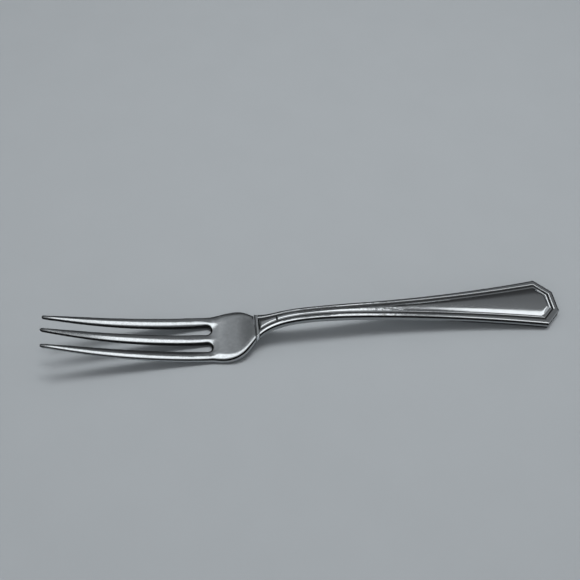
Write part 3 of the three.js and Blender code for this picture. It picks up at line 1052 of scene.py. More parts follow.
    def softness(self, places: Array, face: Face) -> Array:
        """Give how far a face's softened edge falls away, from the distances to the outline.

        Args:
            places: Points over the plan.
            face: Front or back.

        Returns:
            The fall, in metres.
        """
        half, _, outside = self.half_outline()
        folded = np.stack([places[:, 0], np.abs(places[:, 1])], -1)
        x = folded[:, 0]
        drop = self.soft_drop if face is Face.FRONT else self.back_drop
        rolled = self.palm_roll(x) if face is Face.FRONT else drop
        power = np.where(places[:, 1] < self.tine_line(*places.T), self.worn_power, self.soft_power)
        soft = np.zeros(len(places))
        for line, tine, palm in (
            (half[:outside], self.outer_soft * drop, rolled),
            (half[outside - 1 :], self.slot_soft * drop, self.root_soft * drop),
        ):
            gap = away(folded, line)
            share = np.minimum(gap / self.reach(x), 1.0)
            narrow = tine * (1.0 - share) ** power * self.reach(x) / (self.root_width / 2)
            wide = palm * self.palm_fall(np.minimum(gap / self.palm_reach(x), 1.0))
            soft += mix(narrow, wide, self.swell(x))
        return soft

    def shade_line(self, rise: float, face: Face) -> float:
        """Give the painted shade of the dark line along a rounded edge, above or below its middle."""
        start, full = self.front_shade_line if face is Face.FRONT else self.back_shade_line
        return float(np.interp(rise, (start, full, self.shade_line_end, 1.0), (0.0, 1.0, 1.0, 0.0)))

    def painted_tip_shade(self, x: Array) -> Array:
        """Give the painted shade of the tips."""
        return self.tip_shade * (1.0 - ease(x, self.plan.x_tip, self.plan.x_tip + self.tip_shade_length))

    def brim(self, x: Array) -> Array:
        """Give the head's half width.

        Args:
            x: Places along the fork.

        Returns:
            Half the width over the outer tines or over the palm.
        """
        palm = self.palm_edge()[::-1]
        tines = self.pitch(x) + self.tine_half(x)
        return np.where(x < self.plan.x_root, tines, np.interp(x, palm[:, 0], palm[:, 1]))

    def height(self, places: Array, rise: float, face: Face) -> Array:
        """Give a face's height above the spine.

        Args:
            places: Points over the plan.
            rise: 0 on the edge line, 1 where the rounded edge ends.
            face: Front or back.

        Returns:
            The heights.
        """
        x, y = places.T
        inward = 1.0 - (y / self.brim(x)) ** 2
        front = -self.cup(x, self.cup_depth) * inward - self.softness(places, Face.FRONT)
        back = -self.cup(x, self.back_cup_depth) * inward - self.thickness(x)
        back += self.softness(places, Face.BACK)
        return self.lift(x, y) + mix((front + back) / 2, front if face is Face.FRONT else back, rise)

    def fill(self, ring: Array) -> tuple[Array, list[tuple[int, ...]]]:
        """Fill the innermost ring with triangles.

        Args:
            ring: The ring's points, closed along the neck.

        Returns:
            The points inside, and triangles over the ring's points followed by the ones inside.
        """
        low, high = ring.min(0), ring.max(0)
        rows = np.arange(low[1], high[1], self.grid * self.grid_row)
        columns = np.arange(low[0], high[0], self.grid)
        spots = np.array([(x + (k % 2) * self.grid / 2, y) for k, y in enumerate(rows) for x in columns])
        after = np.roll(ring, -1, axis=0)
        run, climb = (after - ring).T
        slant = run / np.where(climb == 0.0, 1.0, climb)
        crossed = (ring[:, 1] > spots[:, 1:]) != (after[:, 1] > spots[:, 1:])
        beyond = spots[:, :1] < ring[:, 0] + (spots[:, 1:] - ring[:, 1]) * slant
        inside = (crossed & beyond).sum(1) % 2 == 1
        clear = np.linalg.norm(spots[:, None] - ring[None], axis=2).min(1) > self.grid_clear * self.grid
        spots = spots[inside & clear]
        every = np.concatenate([ring, spots]) / MM
        edges = [(k, (k + 1) % len(ring)) for k in range(len(ring))]
        made = delaunay_2d_cdt([Vector(p) for p in every], edges, [], FILL_INSIDE, SAME_PLACE)
        _, _, faces, sources, _, _ = made
        source = [origins[0] for origins in sources]
        return spots, [tuple(source[k] for k in face) for face in faces]

    def insets(self, x: Array) -> list[tuple[Array, float]]:
        """Give the rings that follow the outline.

        Args:
            x: Places of the outline's points along the fork.

        Returns:
            Each ring's distance from the edge, and its rise on the rounded edge.
        """
        reach = self.reach(x)
        radius = mix(self.edge_radius, self.palm_edge_radius, self.swell(x))
        edge = np.minimum(radius, self.edge_share * reach)
        angles = quarter(self.edge_steps)
        rounded = [(edge * (1.0 - math.cos(angle)), math.sin(angle)) for angle in angles]
        return rounded + [(mix(edge, reach, share), 1.0) for share in self.inner_rings]

    def skin(self, blank: Blank) -> None:
        """Draw the tines and the palm: rings in from the outline, and a filled middle.

        Args:
            blank: The head, still empty.
        """
        points, inward, patina_and_shade = self.outline()
        insets = self.insets(points[:, 0])
        rings = [points + inward * inset[:, None] for inset, _ in insets]
        neck = np.linspace(rings[-1][-1], rings[-1][0], self.neck_steps)[1:-1]
        spots, triangles = self.fill(np.concatenate([rings[-1], neck]))
        inner = np.concatenate([neck, spots])
        edge = blank.add(*points.T, self.height(points, 0.0, Face.FRONT), patina_and_shade)
        neck_rows = {}
        for face in Face:
            rows = [edge]
            for ring, (_, rise) in zip(rings[1:], insets[1:]):
                # Painted darkening on the rounded edge: tarnish and painted shade fading in from the
                # outline, a painted dark line of shade, and painted shade at the tips.
                dark = np.maximum(patina_and_shade * (1.0 - rise**self.dark_fade_power), self.shade_line(rise, face))
                dark = np.maximum(dark, self.painted_tip_shade(ring[:, 0]))
                rows.append(blank.add(*ring.T, self.height(ring, rise, face), dark))
            blank.rows(rows)
            # The filled middle takes the painted shade at the tips too.
            middle = blank.add(*inner.T, self.height(inner, 1.0, face), self.painted_tip_shade(inner[:, 0]))
            numbers = np.concatenate([rows[-1], middle])
            blank.faces.extend(tuple(numbers[k] for k in triangle) for triangle in triangles)
            low_side = [row[-1] for row in rows]
            high_side = [row[0] for row in rows[::-1]]
            neck_rows[face] = [*low_side, *numbers[len(points) : len(points) + len(neck)], *high_side]
        blank.strip(neck_rows[Face.FRONT], neck_rows[Face.BACK])

    def build(self, bend: SpineBend, finish: Material) -> None:
        """Build and dress the head.

        Args:
            bend: The bend along the fork's spine.
            finish: The head's material.
        """
        blank = Blank()
        self.skin(blank)
        self.tang.draw(blank, self.plan)
        piece = blank.piece("silver_head")
        bend.bend(piece, finish)
        settle(piece, Slot.SATIN, "fork_head")


@dataclass
class NeckCollar:
    """The plain band between the head and the mouth of the handle."""

    plan: Plan
    crown: float = 0.5 * MM
    under_rise: float = 0.12 * MM
    head_bevel: float = 0.2 * MM
    handle_bevel: float = 0.05 * MM
    slot_half: float = 1.05 * MM
    slot_top: float = -0.15 * MM
    slot_bottom: float = -1.35 * MM
    round_steps: int = 7

    def section(self, x: float, inset: float) -> tuple[Array, Array]:
        """Draw the band's outside at one place.

        Args:
            x: The place along the fork.
            inset: How far in from the band's full size.

        Returns:
            Places across and heights of a closed loop.
        """
        plan = self.plan
        half = plan.half_width(x) - inset
        low = self.under_rise + inset - plan.back_depth
        top = self.crown - inset
        radius = plan.back_radius
        angle = quarter(self.round_steps)
        under = np.stack([half - radius * (1 - np.sin(angle)), low + radius * (1 - np.cos(angle))])
        over = np.stack([half - self.crown * (1 - np.cos(angle)), top - self.crown * (1 - np.sin(angle))])
        side = np.concatenate([under, over], 1)
        other = side[:, ::-1] * np.array([[-1.0], [1.0]])
        y, height = np.concatenate([side, other], 1)
        return y, height

    def slot(self) -> tuple[Array, Array]:
        """Draw the slot that the tang passes through.

        Returns:
            Places across and heights of a closed loop, one for each point of the band's outside.
        """
        y, _ = self.section(self.plan.x_neck + self.plan.seam / 2, 0.0)
        count = len(y)
        height = np.where(np.arange(count) % (count // 2) < count // 4, self.slot_bottom, self.slot_top)
        height = np.where(np.arange(count) >= count // 2, height[::-1], height)
        return np.clip(y, -self.slot_half, self.slot_half), height

    def build(self, bend: SpineBend, finish: Material) -> None:
        """Build and dress the band.

        Args:
            bend: The bend along the fork's spine.
            finish: The band's material.
        """
        plan = self.plan
        start, end = plan.x_neck + plan.seam / 2, plan.x_handle - plan.seam / 2
        # Place along the fork, inset, tarnish.
        stations = (
            (start, self.head_bevel, 1.0),
            (start + self.head_bevel, 0.0, 0.2),
            (mix(start, end, 0.5), 0.0, 0.0),
            (end - self.handle_bevel, 0.0, 0.0),
            (end, self.handle_bevel, 0.6),
        )
        blank = Blank()
        outside = [blank.add(x, *self.section(x, inset), tarnish) for x, inset, tarnish in stations]
        inside = [blank.add(x, *self.slot()) for x in (start, end)]
        loops = [*outside, inside[1], inside[0], outside[0]]
        blank.rows([[*loop, loop[0]] for loop in loops])
        piece = blank.piece("neck_band")
        bend.bend(piece, finish)
        settle(piece, Slot.POLISHED, "neck_collar")


@dataclass
class Ring:
    """A line that follows the handle's outline at an inset, at a height above the seam."""

    inset: Along
    height: Along
    tarnish: Along


@dataclass
class HandleShell:
    """What the handle's two shells share: lines that follow its outline, and sheets between them."""

    plan: Plan
    columns: int = 28
    side_steps: int = 240
    cut_steps: int = 14
    cut_crowding: float = 0.7
    shear_length: float = 40.0 * MM

    def stations(self) -> Array:
        """Give places along the handle, from its mouth to its cut corners."""
        return np.linspace(self.plan.x_mouth, self.plan.x_shoulder, self.side_steps)

    def across(self) -> Array:
        """Give places across the handle as shares of its half width, closer together at the sides."""
        return np.cos(np.linspace(0.0, math.pi, self.columns + 1))

    @staticmethod
    def corner(at: Span, before: Span, after: Span, inset: float) -> Array:
        """Move a corner of the outline inward.

        Args:
            at: The corner.
            before: Direction of the edge that ends there.
            after: Direction of the edge that starts there.
            inset: The distance from both edges.

        Returns:
            The moved corner.
        """
        first = np.array([before[1], -before[0]]) / np.hypot(*before)
        second = np.array([after[1], -after[0]]) / np.hypot(*after)
        return np.array(at) + (first + second) / (1 + first @ second) * inset

    def follow(self, inset: Along) -> tuple[Array, Array]:
        """Follow the outline at an inset.

        Args:
            inset: The inset at places along the fork.

        Returns:
            The +Y side up to the end's corner, and the straight end across to the -Y side.
        """
        plan = self.plan
        depth = float(inset(np.array(plan.x_shoulder)))
        at_shoulder = (plan.x_shoulder, plan.handle_width / 2)
        at_end = (plan.x_end, plan.end_width / 2)
        side = (1.0, float(plan.widening(np.array(plan.x_shoulder))))
        cut = (at_end[0] - at_shoulder[0], at_end[1] - at_shoulder[1])
        shoulder = self.corner(at_shoulder, side, cut, depth)
        end = self.corner(at_end, cut, (0.0, -1.0), depth)
        places = self.stations()[:-1]
        x_bend = plan.x_shoulder - self.shear_length
        shear = np.maximum(0.0, (places - x_bend) / (plan.x_shoulder - x_bend))
        x = places + (shoulder[0] - plan.x_shoulder) * shear
        y = plan.half_width(x) - inset(x) * np.hypot(1.0, plan.widening(x))
        steps = np.linspace(0.0, 1.0, self.cut_steps)
        steps = mix(steps, 0.5 - 0.5 * np.cos(math.pi * steps), self.cut_crowding)[:, None]
        line = np.concatenate([np.stack([x, y], -1), mix(shoulder, end, steps)])
        across = self.across()
        return line, np.stack([np.full(len(across), end[0]), across * end[1]], -1)

    def path(self, inset: Along) -> Array:
        """Follow the outline at an inset from the mouth's +Y side round the end to its -Y side."""
        line, end = self.follow(inset)
        return np.concatenate([line, end[1:-1], line[::-1] * MIRROR])

    def loop(self, blank: Blank, ring: Ring) -> Array:
        """Add a ring as an open loop.

        Args:
            blank: The piece that the ring belongs to.
            ring: The ring.

        Returns:
            The numbers of its points.
        """
        path = self.path(ring.inset)
        x = np.minimum(path[:, 0], self.plan.x_shoulder)
        return blank.add(*path.T, ring.height(x), ring.tarnish(x))

    def cover(
        self,
        blank: Blank,
        loop: Array,
        height: Callable[[Array, Array, Array], Array],
        tarnish: Along = level(0.0),
    ) -> Array:
        """Fill a loop with a sheet.

        Args:
            blank: The piece that the loop belongs to.
            loop: The loop's numbers.
            height: The sheet's height at places along and across, and at shares of the half width.
            tarnish: The sheet's tarnish at places along.

        Returns:
            The numbers of the sheet's first row, across the mouth.
        """
        side = (len(loop) - self.columns + 1) // 2
        points = np.concatenate(blank.points)[loop]
        across = self.across()[1:-1]
        rows = []
        for k in range(side - 1):
            x, y, _ = points[k]
            at = np.full(len(across), x)
            middle = blank.add(at, across * y, height(at, across * y, across), tarnish(at))
            rows.append([loop[k], *middle, loop[-1 - k]])
        rows.append(list(loop[side - 1 : side + self.columns]))
        blank.rows(rows)
        return rows[0]

    @staticmethod
    def shut(blank: Blank, loops: list[Array], first: Array, last: Array) -> None:
        """Close a shell at the mouth with one face.

        Args:
            blank: The shell.
            loops: Its loops.
            first: The mouth's row of the sheet over the first loop.
            last: The mouth's row of the sheet over the last loop.
        """
        high_side = [loop[0] for loop in loops[1:-1]]
        low_side = [loop[-1] for loop in loops[1:-1]]
        blank.faces.append((*high_side, *last, *low_side[::-1], *first[::-1]))


@dataclass
class HandleFront(HandleShell):
    """The struck front: rim, groove, inner thread, stem rib, neck tab and domed panel."""

    side_steps: int = 300
    chamfer: float = 0.3 * MM
    lip: float = 0.3 * MM
    stem_rim: float = 0.95 * MM
    end_rim: float = 1.6 * MM
    rim_height: float = 0.57 * MM
    groove_width: float = 0.42 * MM
    groove_height: float = 0.4 * MM
    groove_tarnish: float = 0.9
    thread_width: float = 0.62 * MM
    thread_height: float = 0.53 * MM
    panel_edge: float = 0.46 * MM
    panel_crown: float = 0.8 * MM
    panel_roll: float = 1.0 * MM
    panel_from_neck: float = 45.5 * MM
    panel_fade: float = 6.0 * MM
    panel_point: float = 4.0 * MM
    rib_height: float = 0.72 * MM
    tab_length: float = 5.4 * MM
    cross_groove: float = 0.6 * MM
    cross_tarnish: float = 1.6
    cross_steps: int = 17
    border_share: float = 0.75
    edge_from_neck: float = 36.0 * MM
    edge_fade: float = 20.0 * MM

    @property
    def x_tab(self) -> float:
        """Where the neck tab ends at a groove across the handle."""
        return self.plan.x_handle + self.tab_length

    def stations(self) -> Array:
        """Give places along the handle, closer together at the cross grooves.

        Returns:
            The places, in order.
        """
        start, reach = self.plan.x_mouth, self.cross_groove
        near = [np.linspace(at - reach, at + reach, self.cross_steps) for at in (start, self.x_tab)]
        places = np.concatenate([super().stations(), *near])
        return np.unique(places[places >= start].round(PLACE_DIGITS))

    def border(self, x: Array) -> tuple[Array, Array, Array, Array]:
        """Give the widths of the threaded border.

        Args:
            x: Places along the fork.

        Returns:
            The widths of rim, groove and thread, and the room inside the groove.
        """
        rim = mix(self.stem_rim, self.end_rim, self.plan.breadth(x))
        room = self.plan.half_width(x) / np.hypot(1.0, self.plan.widening(x))
        fit = np.minimum(1.0, self.border_share * room / (rim + self.groove_width))
        body = room - (rim + self.groove_width) * fit
        thread = np.minimum(self.thread_width, self.border_share * body)
        return rim * fit, self.groove_width * fit, thread, body

    def clear(self, x: Array) -> Array:
        """Rise from 0 on a groove across the handle to 1 away from it."""
        at_mouth = (x - self.plan.x_mouth) / self.cross_groove
        return np.clip(np.minimum(at_mouth, np.abs(x - self.x_tab) / (self.cross_groove / 2)), 0.0, 1.0)

    def sunk(self, x: Array, height: Array) -> Array:
        """Sink what lies inside the border where a groove crosses it."""
        return mix(self.groove_height, height, self.clear(x))

    def crossed(self, x: Array) -> Array:
        """Give the tarnish of the grooves across the handle."""
        return np.minimum(1.0, self.cross_tarnish * (1.0 - self.clear(x)))

    def panel_share(self, x: Array) -> Array:
        """Rise from 0 along the stem's rib to 1 along the panel."""
        x_panel = self.plan.x_neck + self.panel_from_neck
        return ease(x, x_panel - self.panel_fade, x_panel)

    def rib(self, share: Array) -> Array:
        """Give the rib's height, from its edge at 0 to its middle at 1."""
        return mix(self.groove_height, self.rib_height, np.sqrt(1.0 - (1.0 - np.clip(share, 0.0, 1.0)) ** 2))

    def along(self, at_stem: float, at_end: float) -> Along:
        """Give a value that goes from the stem's to the flared end's along the handle."""
        start = self.plan.x_neck + self.edge_from_neck
        return lambda x: mix(at_stem, at_end, ease(x, start, start + self.edge_fade))

    def rim_rings(self) -> list[Ring]:
        """Draw the rim from the seam: a rounded edge, a worn slope, the top, and the side of the groove.

        Returns:
            Its rings, from the outline inward.
        """
        # Inset, height along the stem, height at the flared end, tarnish.
        outer = (
            (0.0, self.lip, self.lip, 1.0),
            (0.015 * MM, 0.345 * MM, 0.345 * MM, 1.0),
            (0.05 * MM, 0.4 * MM, 0.39 * MM, 0.8),
            (0.1 * MM, 0.445 * MM, 0.43 * MM, 0.0),
            (0.2 * MM, 0.47 * MM, 0.47 * MM, 0.0),
            (0.55 * MM, 0.545 * MM, 0.545 * MM, 0.0),
        )
        # Distance back from the groove, height, tarnish.
        inner = (
            (0.36 * MM, self.rim_height, 0.0),
            (0.08 * MM, 0.5 * MM, 0.0),
            (0.0, self.groove_height, self.groove_tarnish),
        )
        rings = [Ring(level(self.chamfer), level(self.plan.seam / 2), level(1.0))]
        for inset, at_stem, at_end, tarnish in outer:
            rings.append(Ring(level(inset), self.along(at_stem, at_end), level(tarnish)))
        for back, height, tarnish in inner:
            rings.append(Ring(lambda x, back=back: self.border(x)[0] - back, level(height), level(tarnish)))
        return rings

    def thread_rings(self) -> list[Ring]:
        """Draw the inner thread, which runs into the rib along the stem.

        Returns:
            Its rings, from the groove inward.
        """
        # Share of the thread's width, height along the panel.
        profile = (
            (0.0, self.groove_height),
            (0.12, mix(self.groove_height, self.thread_height, 0.5)),
            (0.25, mix(self.groove_height, self.thread_height, 0.65)),
            (0.5, self.thread_height),
            (0.58, self.thread_height),
            (1.0, self.panel_edge),
        )
        rings = []
        for share, height in profile:

            def inset(x: Array, share: float = share) -> Array:
                """Give the ring's inset."""
                rim, groove, thread, _ = self.border(x)
                return rim + groove + thread * share

            def rise(x: Array, share: float = share, height: float = height) -> Array:
                """Give the ring's height."""
                _, _, thread, body = self.border(x)
                return self.sunk(x, mix(self.rib(thread * share / body), height, self.panel_share(x)))

            rings.append(Ring(inset, rise, level(self.groove_tarnish) if share == 0.0 else self.crossed))
        return rings

    def panel_inset(self, x: Array) -> Array:
        """Give the inset of the panel's edge."""
        rim, groove, thread, _ = self.border(x)
        return rim + groove + thread

    def panel(self, x: Array, y: Array) -> Array:
        """Give the panel's height: a dome across the handle that rolls down at the cut end.

        Args:
            x: Places along the fork.
            y: Places across it.

        Returns:
            The heights.
        """
        plan = self.plan
        line, end = self.follow(self.panel_inset)
        shoulder, corner = line[-self.cut_steps], line[-1]
        at = np.minimum(x, shoulder[0])
        edge = plan.half_width(at) - self.panel_inset(at) * np.hypot(1.0, plan.widening(at))
        broad = plan.half_width(at) / (plan.handle_width / 2)
        cut = np.array([shoulder, corner, end[len(end) // 2]])
        near = away(np.stack([x, np.abs(y)], -1), cut)
        fall = 1.0 - (1.0 - np.minimum(near / self.panel_roll, 1.0)) ** 2
        return self.panel_edge + self.panel_crown * broad * (1.0 - (y / edge) ** 2) * fall

    def middle(self, x: Array, y: Array, across: Array) -> Array:
        """Give the height inside the border: the rib, then the domed panel with its pointed start.

        Args:
            x: Places along the fork.
            y: Places across it.
            across: The same as shares of the half width.

        Returns:
            The heights.
        """
        _, _, thread, body = self.border(x)
        rib = self.rib(mix(1.0, thread / body, np.abs(across)))
        pointed = self.panel_share(x + self.panel_point * (1.0 - np.abs(across)))
        return self.sunk(x, mix(rib, self.panel(x, y), pointed))

    def build(self, bend: SpineBend, finish: Material) -> None:
        """Build and dress the front shell.

        Args:
            bend: The bend along the fork's spine.
            finish: The shell's material.
        """
        blank = Blank()
        loops = [self.loop(blank, ring) for ring in [*self.rim_rings(), *self.thread_rings()]]
        blank.rows(loops)
        top = self.cover(blank, loops[-1], self.middle, self.crossed)
        under = self.cover(blank, loops[0], lambda x, y, across: np.full_like(x, self.plan.seam / 2))
        self.shut(blank, loops, under, top)
        piece = blank.piece("struck_front")
        bend.bend(piece, finish)
        settle(piece, Slot.POLISHED, "handle_front")


@dataclass
class HandleBack(HandleShell):
    """The pressed back: a shallow tray with a rounded lower edge."""

    crown: float = 0.12 * MM
    chamfer: float = 0.3 * MM
    lip_inset: float = 0.02 * MM
    lip_depth: float = 0.36 * MM
    clean_depth: float = 0.6 * MM
    # Painted shade on the outer wall and, darker, along its foot where the handle is broad.
    wall_shade: float = 0.58
    foot_from: float = 0.66
    foot_full: float = 0.76
    foot_shade_breadth: Span = (0.25, 0.5)
    round_steps: int = 8

    @property
    def edge_depth(self) -> float:
        """Depth of the tray's lower edge below the seam."""
        return self.plan.back_depth - self.crown

    def rings(self) -> list[Ring]:
        """Draw the tray's wall from its inner edge over the seam and down its outside.

        Returns:
            The rings, in that order.
        """
        plan = self.plan
        edge, radius = self.edge_depth, plan.back_radius
        top, foot = -plan.seam / 2, radius - edge
        wall = level(self.wall_shade)
        # Inset, height, tarnish: a dark seam at the chamfer and lip, painted shade on the wall and its foot.
        lines = [
            (plan.wall, plan.wall - edge, wall),
            (plan.wall, top, wall),
            (self.chamfer, top, level(1.0)),
            (self.lip_inset, top - self.lip_depth, level(1.0)),
            (0.0, top - self.clean_depth, wall),
            (0.0, mix(top, foot, self.foot_from), wall),
            (0.0, mix(top, foot, self.foot_full), self.foot_shade),
        ]
        for angle in quarter(self.round_steps):
            inset = radius * (1.0 - math.cos(angle))
            lines.append((inset, radius * (1.0 - math.sin(angle)) - edge, self.foot_shade))
        return [Ring(level(inset), level(height), tarnish) for inset, height, tarnish in lines]

    def foot_shade(self, x: Array) -> Array:
        """Give the painted shade along the wall's foot, darkest where the handle is broad."""
        return mix(self.wall_shade, 1.0, ease(self.plan.breadth(x), *self.foot_shade_breadth))

    def build(self, bend: SpineBend, finish: Material) -> None:
        """Build and dress the back shell.

        Args:
            bend: The bend along the fork's spine.
            finish: The shell's material.
        """
        edge, crown = self.edge_depth, self.crown
        blank = Blank()
        loops = [self.loop(blank, ring) for ring in self.rings()]
        blank.rows(loops)
        floor = self.cover(blank, loops[0], lambda x, y, across: np.full_like(x, self.plan.wall - edge))
        under = self.cover(blank, loops[-1], lambda x, y, across: -edge - crown * (1.0 - across**2))
        self.shut(blank, loops, floor, under)
        piece = blank.piece("pressed_back")
        bend.bend(piece, finish)
        settle(piece, Slot.POLISHED, "handle_back")


@dataclass
class SolderLine(HandleShell):
    """The dark bead of solder that closes the seam between the two shells."""

    radius: float = 0.11 * MM
    inset: float = 0.32 * MM
    sides: int = 8

    def build_tree(self) -> Tree:
        """Build the tree that sweeps a round bead along a path.

        Returns:
            The tree.
        """
        kinds = {
            "Path": "NodeSocketGeometry",
            "Bead radius": "NodeSocketFloat",
            "Bead sides": "NodeSocketInt",
            "Finish": "NodeSocketMaterial",
        }
        graph, given = open_tree("solder_bead", kinds)
        path = graph.node("GeometryNodeMeshToCurve", {"Mesh": given["Path"]})
        inputs = {"Resolution": given["Bead sides"], "Radius": given["Bead radius"]}
        circle = graph.node("GeometryNodeCurvePrimitiveCircle", inputs)
        inputs = {"Curve": path.outputs[0], "Profile Curve": circle.outputs["Curve"], "Fill Caps": True}
        swept = graph.node("GeometryNodeCurveToMesh", inputs)
        return close_tree(graph, swept.outputs[0], given["Finish"])

    def build(self, finish: Material) -> None:
        """Build and dress the bead.

        Args:
            finish: The bead's material.
        """
        path = self.path(level(self.inset))
        points = np.column_stack([path, self.plan.spine().height(path[:, 0])])
        mesh = bpy.data.meshes.new("solder_line")
        mesh.from_pydata(points.tolist(), [(k, k + 1) for k in range(len(points) - 1)], [])
        piece = put("solder_line", mesh)
        values = {"Bead radius": self.radius, "Bead sides": self.sides, "Finish": finish}
        apply_tree(piece, self.build_tree(), values)
        settle(piece, Slot.POLISHED)


@dataclass
class HandleCore:
    """The cement core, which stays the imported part's own solid."""

    node: str = "handle_filler"

    def dress(self, finish: Material) -> None:
        """Give the core its finish.

        Args:
            finish: The core's material.
        """
        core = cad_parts[self.node]
        core.data.materials.clear()
        core.data.materials.append(finish)
        log.info("%s: dressed", self.node)


@dataclass(frozen=True)
class Strip:
    """A lamp that shows in the metal as a bright band, by its reach along X and along Y."""

    name: str
    start: float
    end: float
    low: float
    high: float


@dataclass(frozen=True)
class SoftLamp:
    """A lamp that lights the table and doesn't show in the metal."""

    name: str
    place: Triple
    size: Span
    power: float


@dataclass(frozen=True)
class Patch:
    """A paler part of the room: a stretch along one axis, past a rise along a second one."""

    axis: Axis
    rise: Span
    fall: Span
    second: Axis
    reach: Span
    value: float

    def share(self, graph: Graph, way: bpy.types.NodeOutputs) -> Socket:
        """Rise from 0 outside the patch to 1 inside it."""
        inside = graph.band(way[self.axis.value], self.rise, self.fall)
        return graph.math("MULTIPLY", inside, graph.ramp(way[self.second.value], *self.reach))


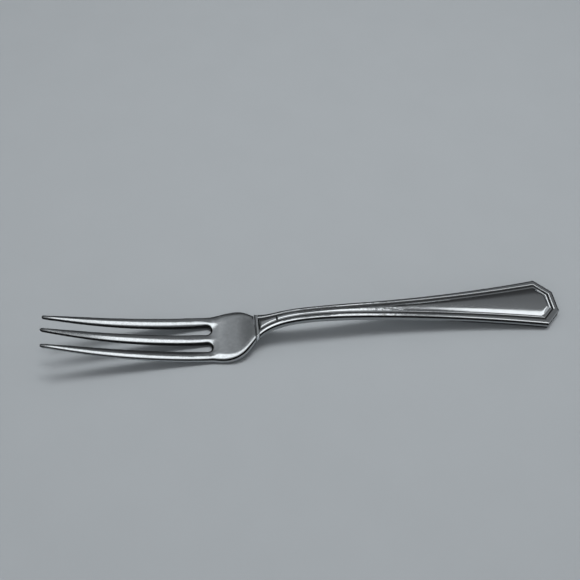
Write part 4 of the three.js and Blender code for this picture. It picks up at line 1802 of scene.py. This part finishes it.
@dataclass
class Studio:
    """Pale table, soft light from above, a dim room, and the camera."""

    image_size: int = 580
    focal_pixels: float = 758.3
    sensor: float = 36.0
    eye: Triple = (-20.3 * MM, -116.9 * MM, 192.8 * MM)
    pitch: float = 55.32
    heading: float = 7.03
    nearest: float = 5.0 * MM
    table: Colour = (0.375, 0.395, 0.412)
    table_reach: float = 6.0
    table_drop: float = 0.02 * MM
    table_cloud: float = 0.05
    table_cloud_scale: float = 60.0
    table_roughness: float = 0.75
    table_gloss: float = 0.2
    lamp_colour: Colour = (0.97, 0.99, 1.0)
    strip_height: float = 0.6
    strip_glow: float = 1.05
    strips: tuple[Strip, ...] = (
        Strip("left_strip", -0.93, 0.272, -0.02, 0.2),
        Strip("high_strip", 0.12, 0.278, 0.2, 0.33),
        Strip("tip_strip", 0.195, 0.285, 0.33, 0.44),
        Strip("right_strip", 0.309, 0.97, -0.105, 0.065),
    )
    soft_lamps: tuple[SoftLamp, ...] = (
        SoftLamp("table_lamp", (0.05, 0.085, 0.6), (0.22, 0.1), 1.85),
        SoftLamp("room_fill", (0.0, 0.0, 1.4), (3.0, 3.0), 5.0),
    )
    room_tint: Colour = (0.96, 0.99, 1.02)
    room: tuple[Span, ...] = (
        (0.0, 0.03),
        (0.2, 0.03),
        (0.36, 0.035),
        (0.47, 0.05),
        (0.56, 0.12),
        (0.72, 0.135),
        (1.0, 0.17),
    )
    pale_side: Patch = Patch(Axis.X, (0.05, -0.25), (-0.6, -0.8), Axis.Z, (0.42, 0.58), 0.268)
    pale_wall: Patch = Patch(Axis.Z, (-0.08, 0.02), (0.5, 0.72), Axis.Y, (0.3, -0.1), 0.42)
    glow: Patch = Patch(Axis.X, (0.06, -0.06), (-0.12, -0.26), Axis.Z, (0.6, 0.75), 0.6)

    def camera(self) -> None:
        """Stand the camera where the photograph was taken from."""
        lens = bpy.data.cameras.new("camera")
        lens.sensor_width = self.sensor
        lens.lens = self.focal_pixels / self.image_size * self.sensor
        lens.clip_start = self.nearest
        camera = put("camera", lens)
        camera.location = self.eye
        camera.rotation_euler = (math.radians(90.0 - self.pitch), 0.0, math.radians(-self.heading))
        bpy.context.scene.camera = camera

    def floor(self) -> None:
        """Lay the table under the fork."""
        reach = self.table_reach
        corners = [(-reach, -reach, 0.0), (reach, -reach, 0.0), (reach, reach, 0.0), (-reach, reach, 0.0)]
        mesh = bpy.data.meshes.new("table_top")
        mesh.from_pydata(corners, [], [(0, 1, 2, 3)])
        material, graph, coords = open_material("pale_table")
        cloud = graph.noise(coords, self.table_cloud_scale, detail=3.0)
        light = graph.math("MULTIPLY_ADD", cloud, self.table_cloud, 1.0 - self.table_cloud / 2)
        inputs = {
            "Base Color": graph.scaled(self.table, light),
            "Roughness": self.table_roughness,
            "Specular IOR Level": self.table_gloss,
        }
        graph.surface(inputs)
        mesh.materials.append(material)
        table = put("table_top", mesh)
        table.location.z = -self.table_drop

    def lamp(self, name: str, place: Vector, size: Span, power: float) -> bpy.types.Object:
        """Hang a soft lamp that faces the fork.

        Args:
            name: The lamp's name.
            place: Where it hangs.
            size: Its length along X, and its width.
            power: Its power in watts.

        Returns:
            The lamp.
        """
        light = bpy.data.lights.new(name, "AREA")
        light.shape = "RECTANGLE"
        light.size, light.size_y = size
        light.energy = power
        light.color = self.lamp_colour
        lamp = put(name, light)
        lamp.location = place
        lamp.rotation_euler = (-place).to_track_quat("-Z", "Y").to_euler()
        return lamp

    def lights(self) -> None:
        """Hang the strips that show in the metal and the lamps that light the table."""
        for strip in self.strips:
            length, width = strip.end - strip.start, strip.high - strip.low
            middle = ((strip.start + strip.end) / 2, (strip.low + strip.high) / 2, self.strip_height)
            power = self.strip_glow * math.pi * length * width
            lamp = self.lamp(strip.name, Vector(middle), (length, width), power)
            # Turned about X alone, so that its ends stay square to the table's edges.
            below = Vector((0.0, -middle[1], -middle[2]))
            lamp.rotation_euler = below.to_track_quat("-Z", "Y").to_euler()
        for soft in self.soft_lamps:
            self.lamp(soft.name, Vector(soft.place), soft.size, soft.power).visible_glossy = False

    def grey(self, value: float) -> tuple[float, ...]:
        """Give a grey of the room, slightly cool."""
        return (*(value * part for part in self.room_tint), 1.0)

    def world(self) -> None:
        """Surround the table with a dim room that is paler overhead, at one side and behind the camera."""
        world = bpy.data.worlds.new("room")
        world.use_nodes = True
        graph = Graph(world.node_tree)
        direction = graph.node("ShaderNodeTexCoord").outputs["Generated"]
        way = graph.node("ShaderNodeSeparateXYZ", {0: direction}).outputs
        ramp = graph.node("ShaderNodeValToRGB", {0: way["Z"]})
        while len(ramp.color_ramp.elements) < len(self.room):
            ramp.color_ramp.elements.new(0.5)
        for element, (place, value) in zip(ramp.color_ramp.elements, self.room):
            element.position = place
            element.color = self.grey(value)
        colour = ramp.outputs[0]
        for patch in (self.pale_side, self.pale_wall):
            colour = graph.blend(patch.share(graph, way), colour, self.grey(patch.value))
        strength = graph.math("MULTIPLY_ADD", self.glow.share(graph, way), self.glow.value, 1.0)
        sky = graph.node("ShaderNodeBackground", {"Color": colour, "Strength": strength})
        graph.node("ShaderNodeOutputWorld", {"Surface": sky.outputs[0]})
        bpy.context.scene.world = world

    def build(self) -> None:
        """Set up the table, the light and the camera."""
        self.floor()
        self.lights()
        self.world()
        self.camera()
        bpy.context.scene.view_settings.view_transform = "Standard"


def main() -> None:
    """Build the fork piece by piece, then its surroundings."""
    logging.basicConfig(level=logging.INFO, format="%(name)s: %(message)s")
    plan = Plan()
    bend = SpineBend(plan)
    satin = SilverFinish("satin_silver", (0.7, 0.73, 0.75), 0.14, satin=0.05, dent=0.02 * MM, brushed=0.3)
    polished = SilverFinish("polished_silver", (0.78, 0.81, 0.83), 0.13, mottle=0.08, wear=0.07 * MM)
    solder = SilverFinish("dark_solder", (0.03, 0.03, 0.03), 0.6)
    bright = polished.material()
    ForkHead(plan).build(bend, satin.material())
    NeckCollar(plan).build(bend, bright)
    HandleFront(plan).build(bend, bright)
    HandleBack(plan).build(bend, bright)
    SolderLine(plan).build(solder.material())
    HandleCore().dress(CementFinish().material())
    bend.clear()
    Studio().build()


if __name__ == "__main__":
    main()
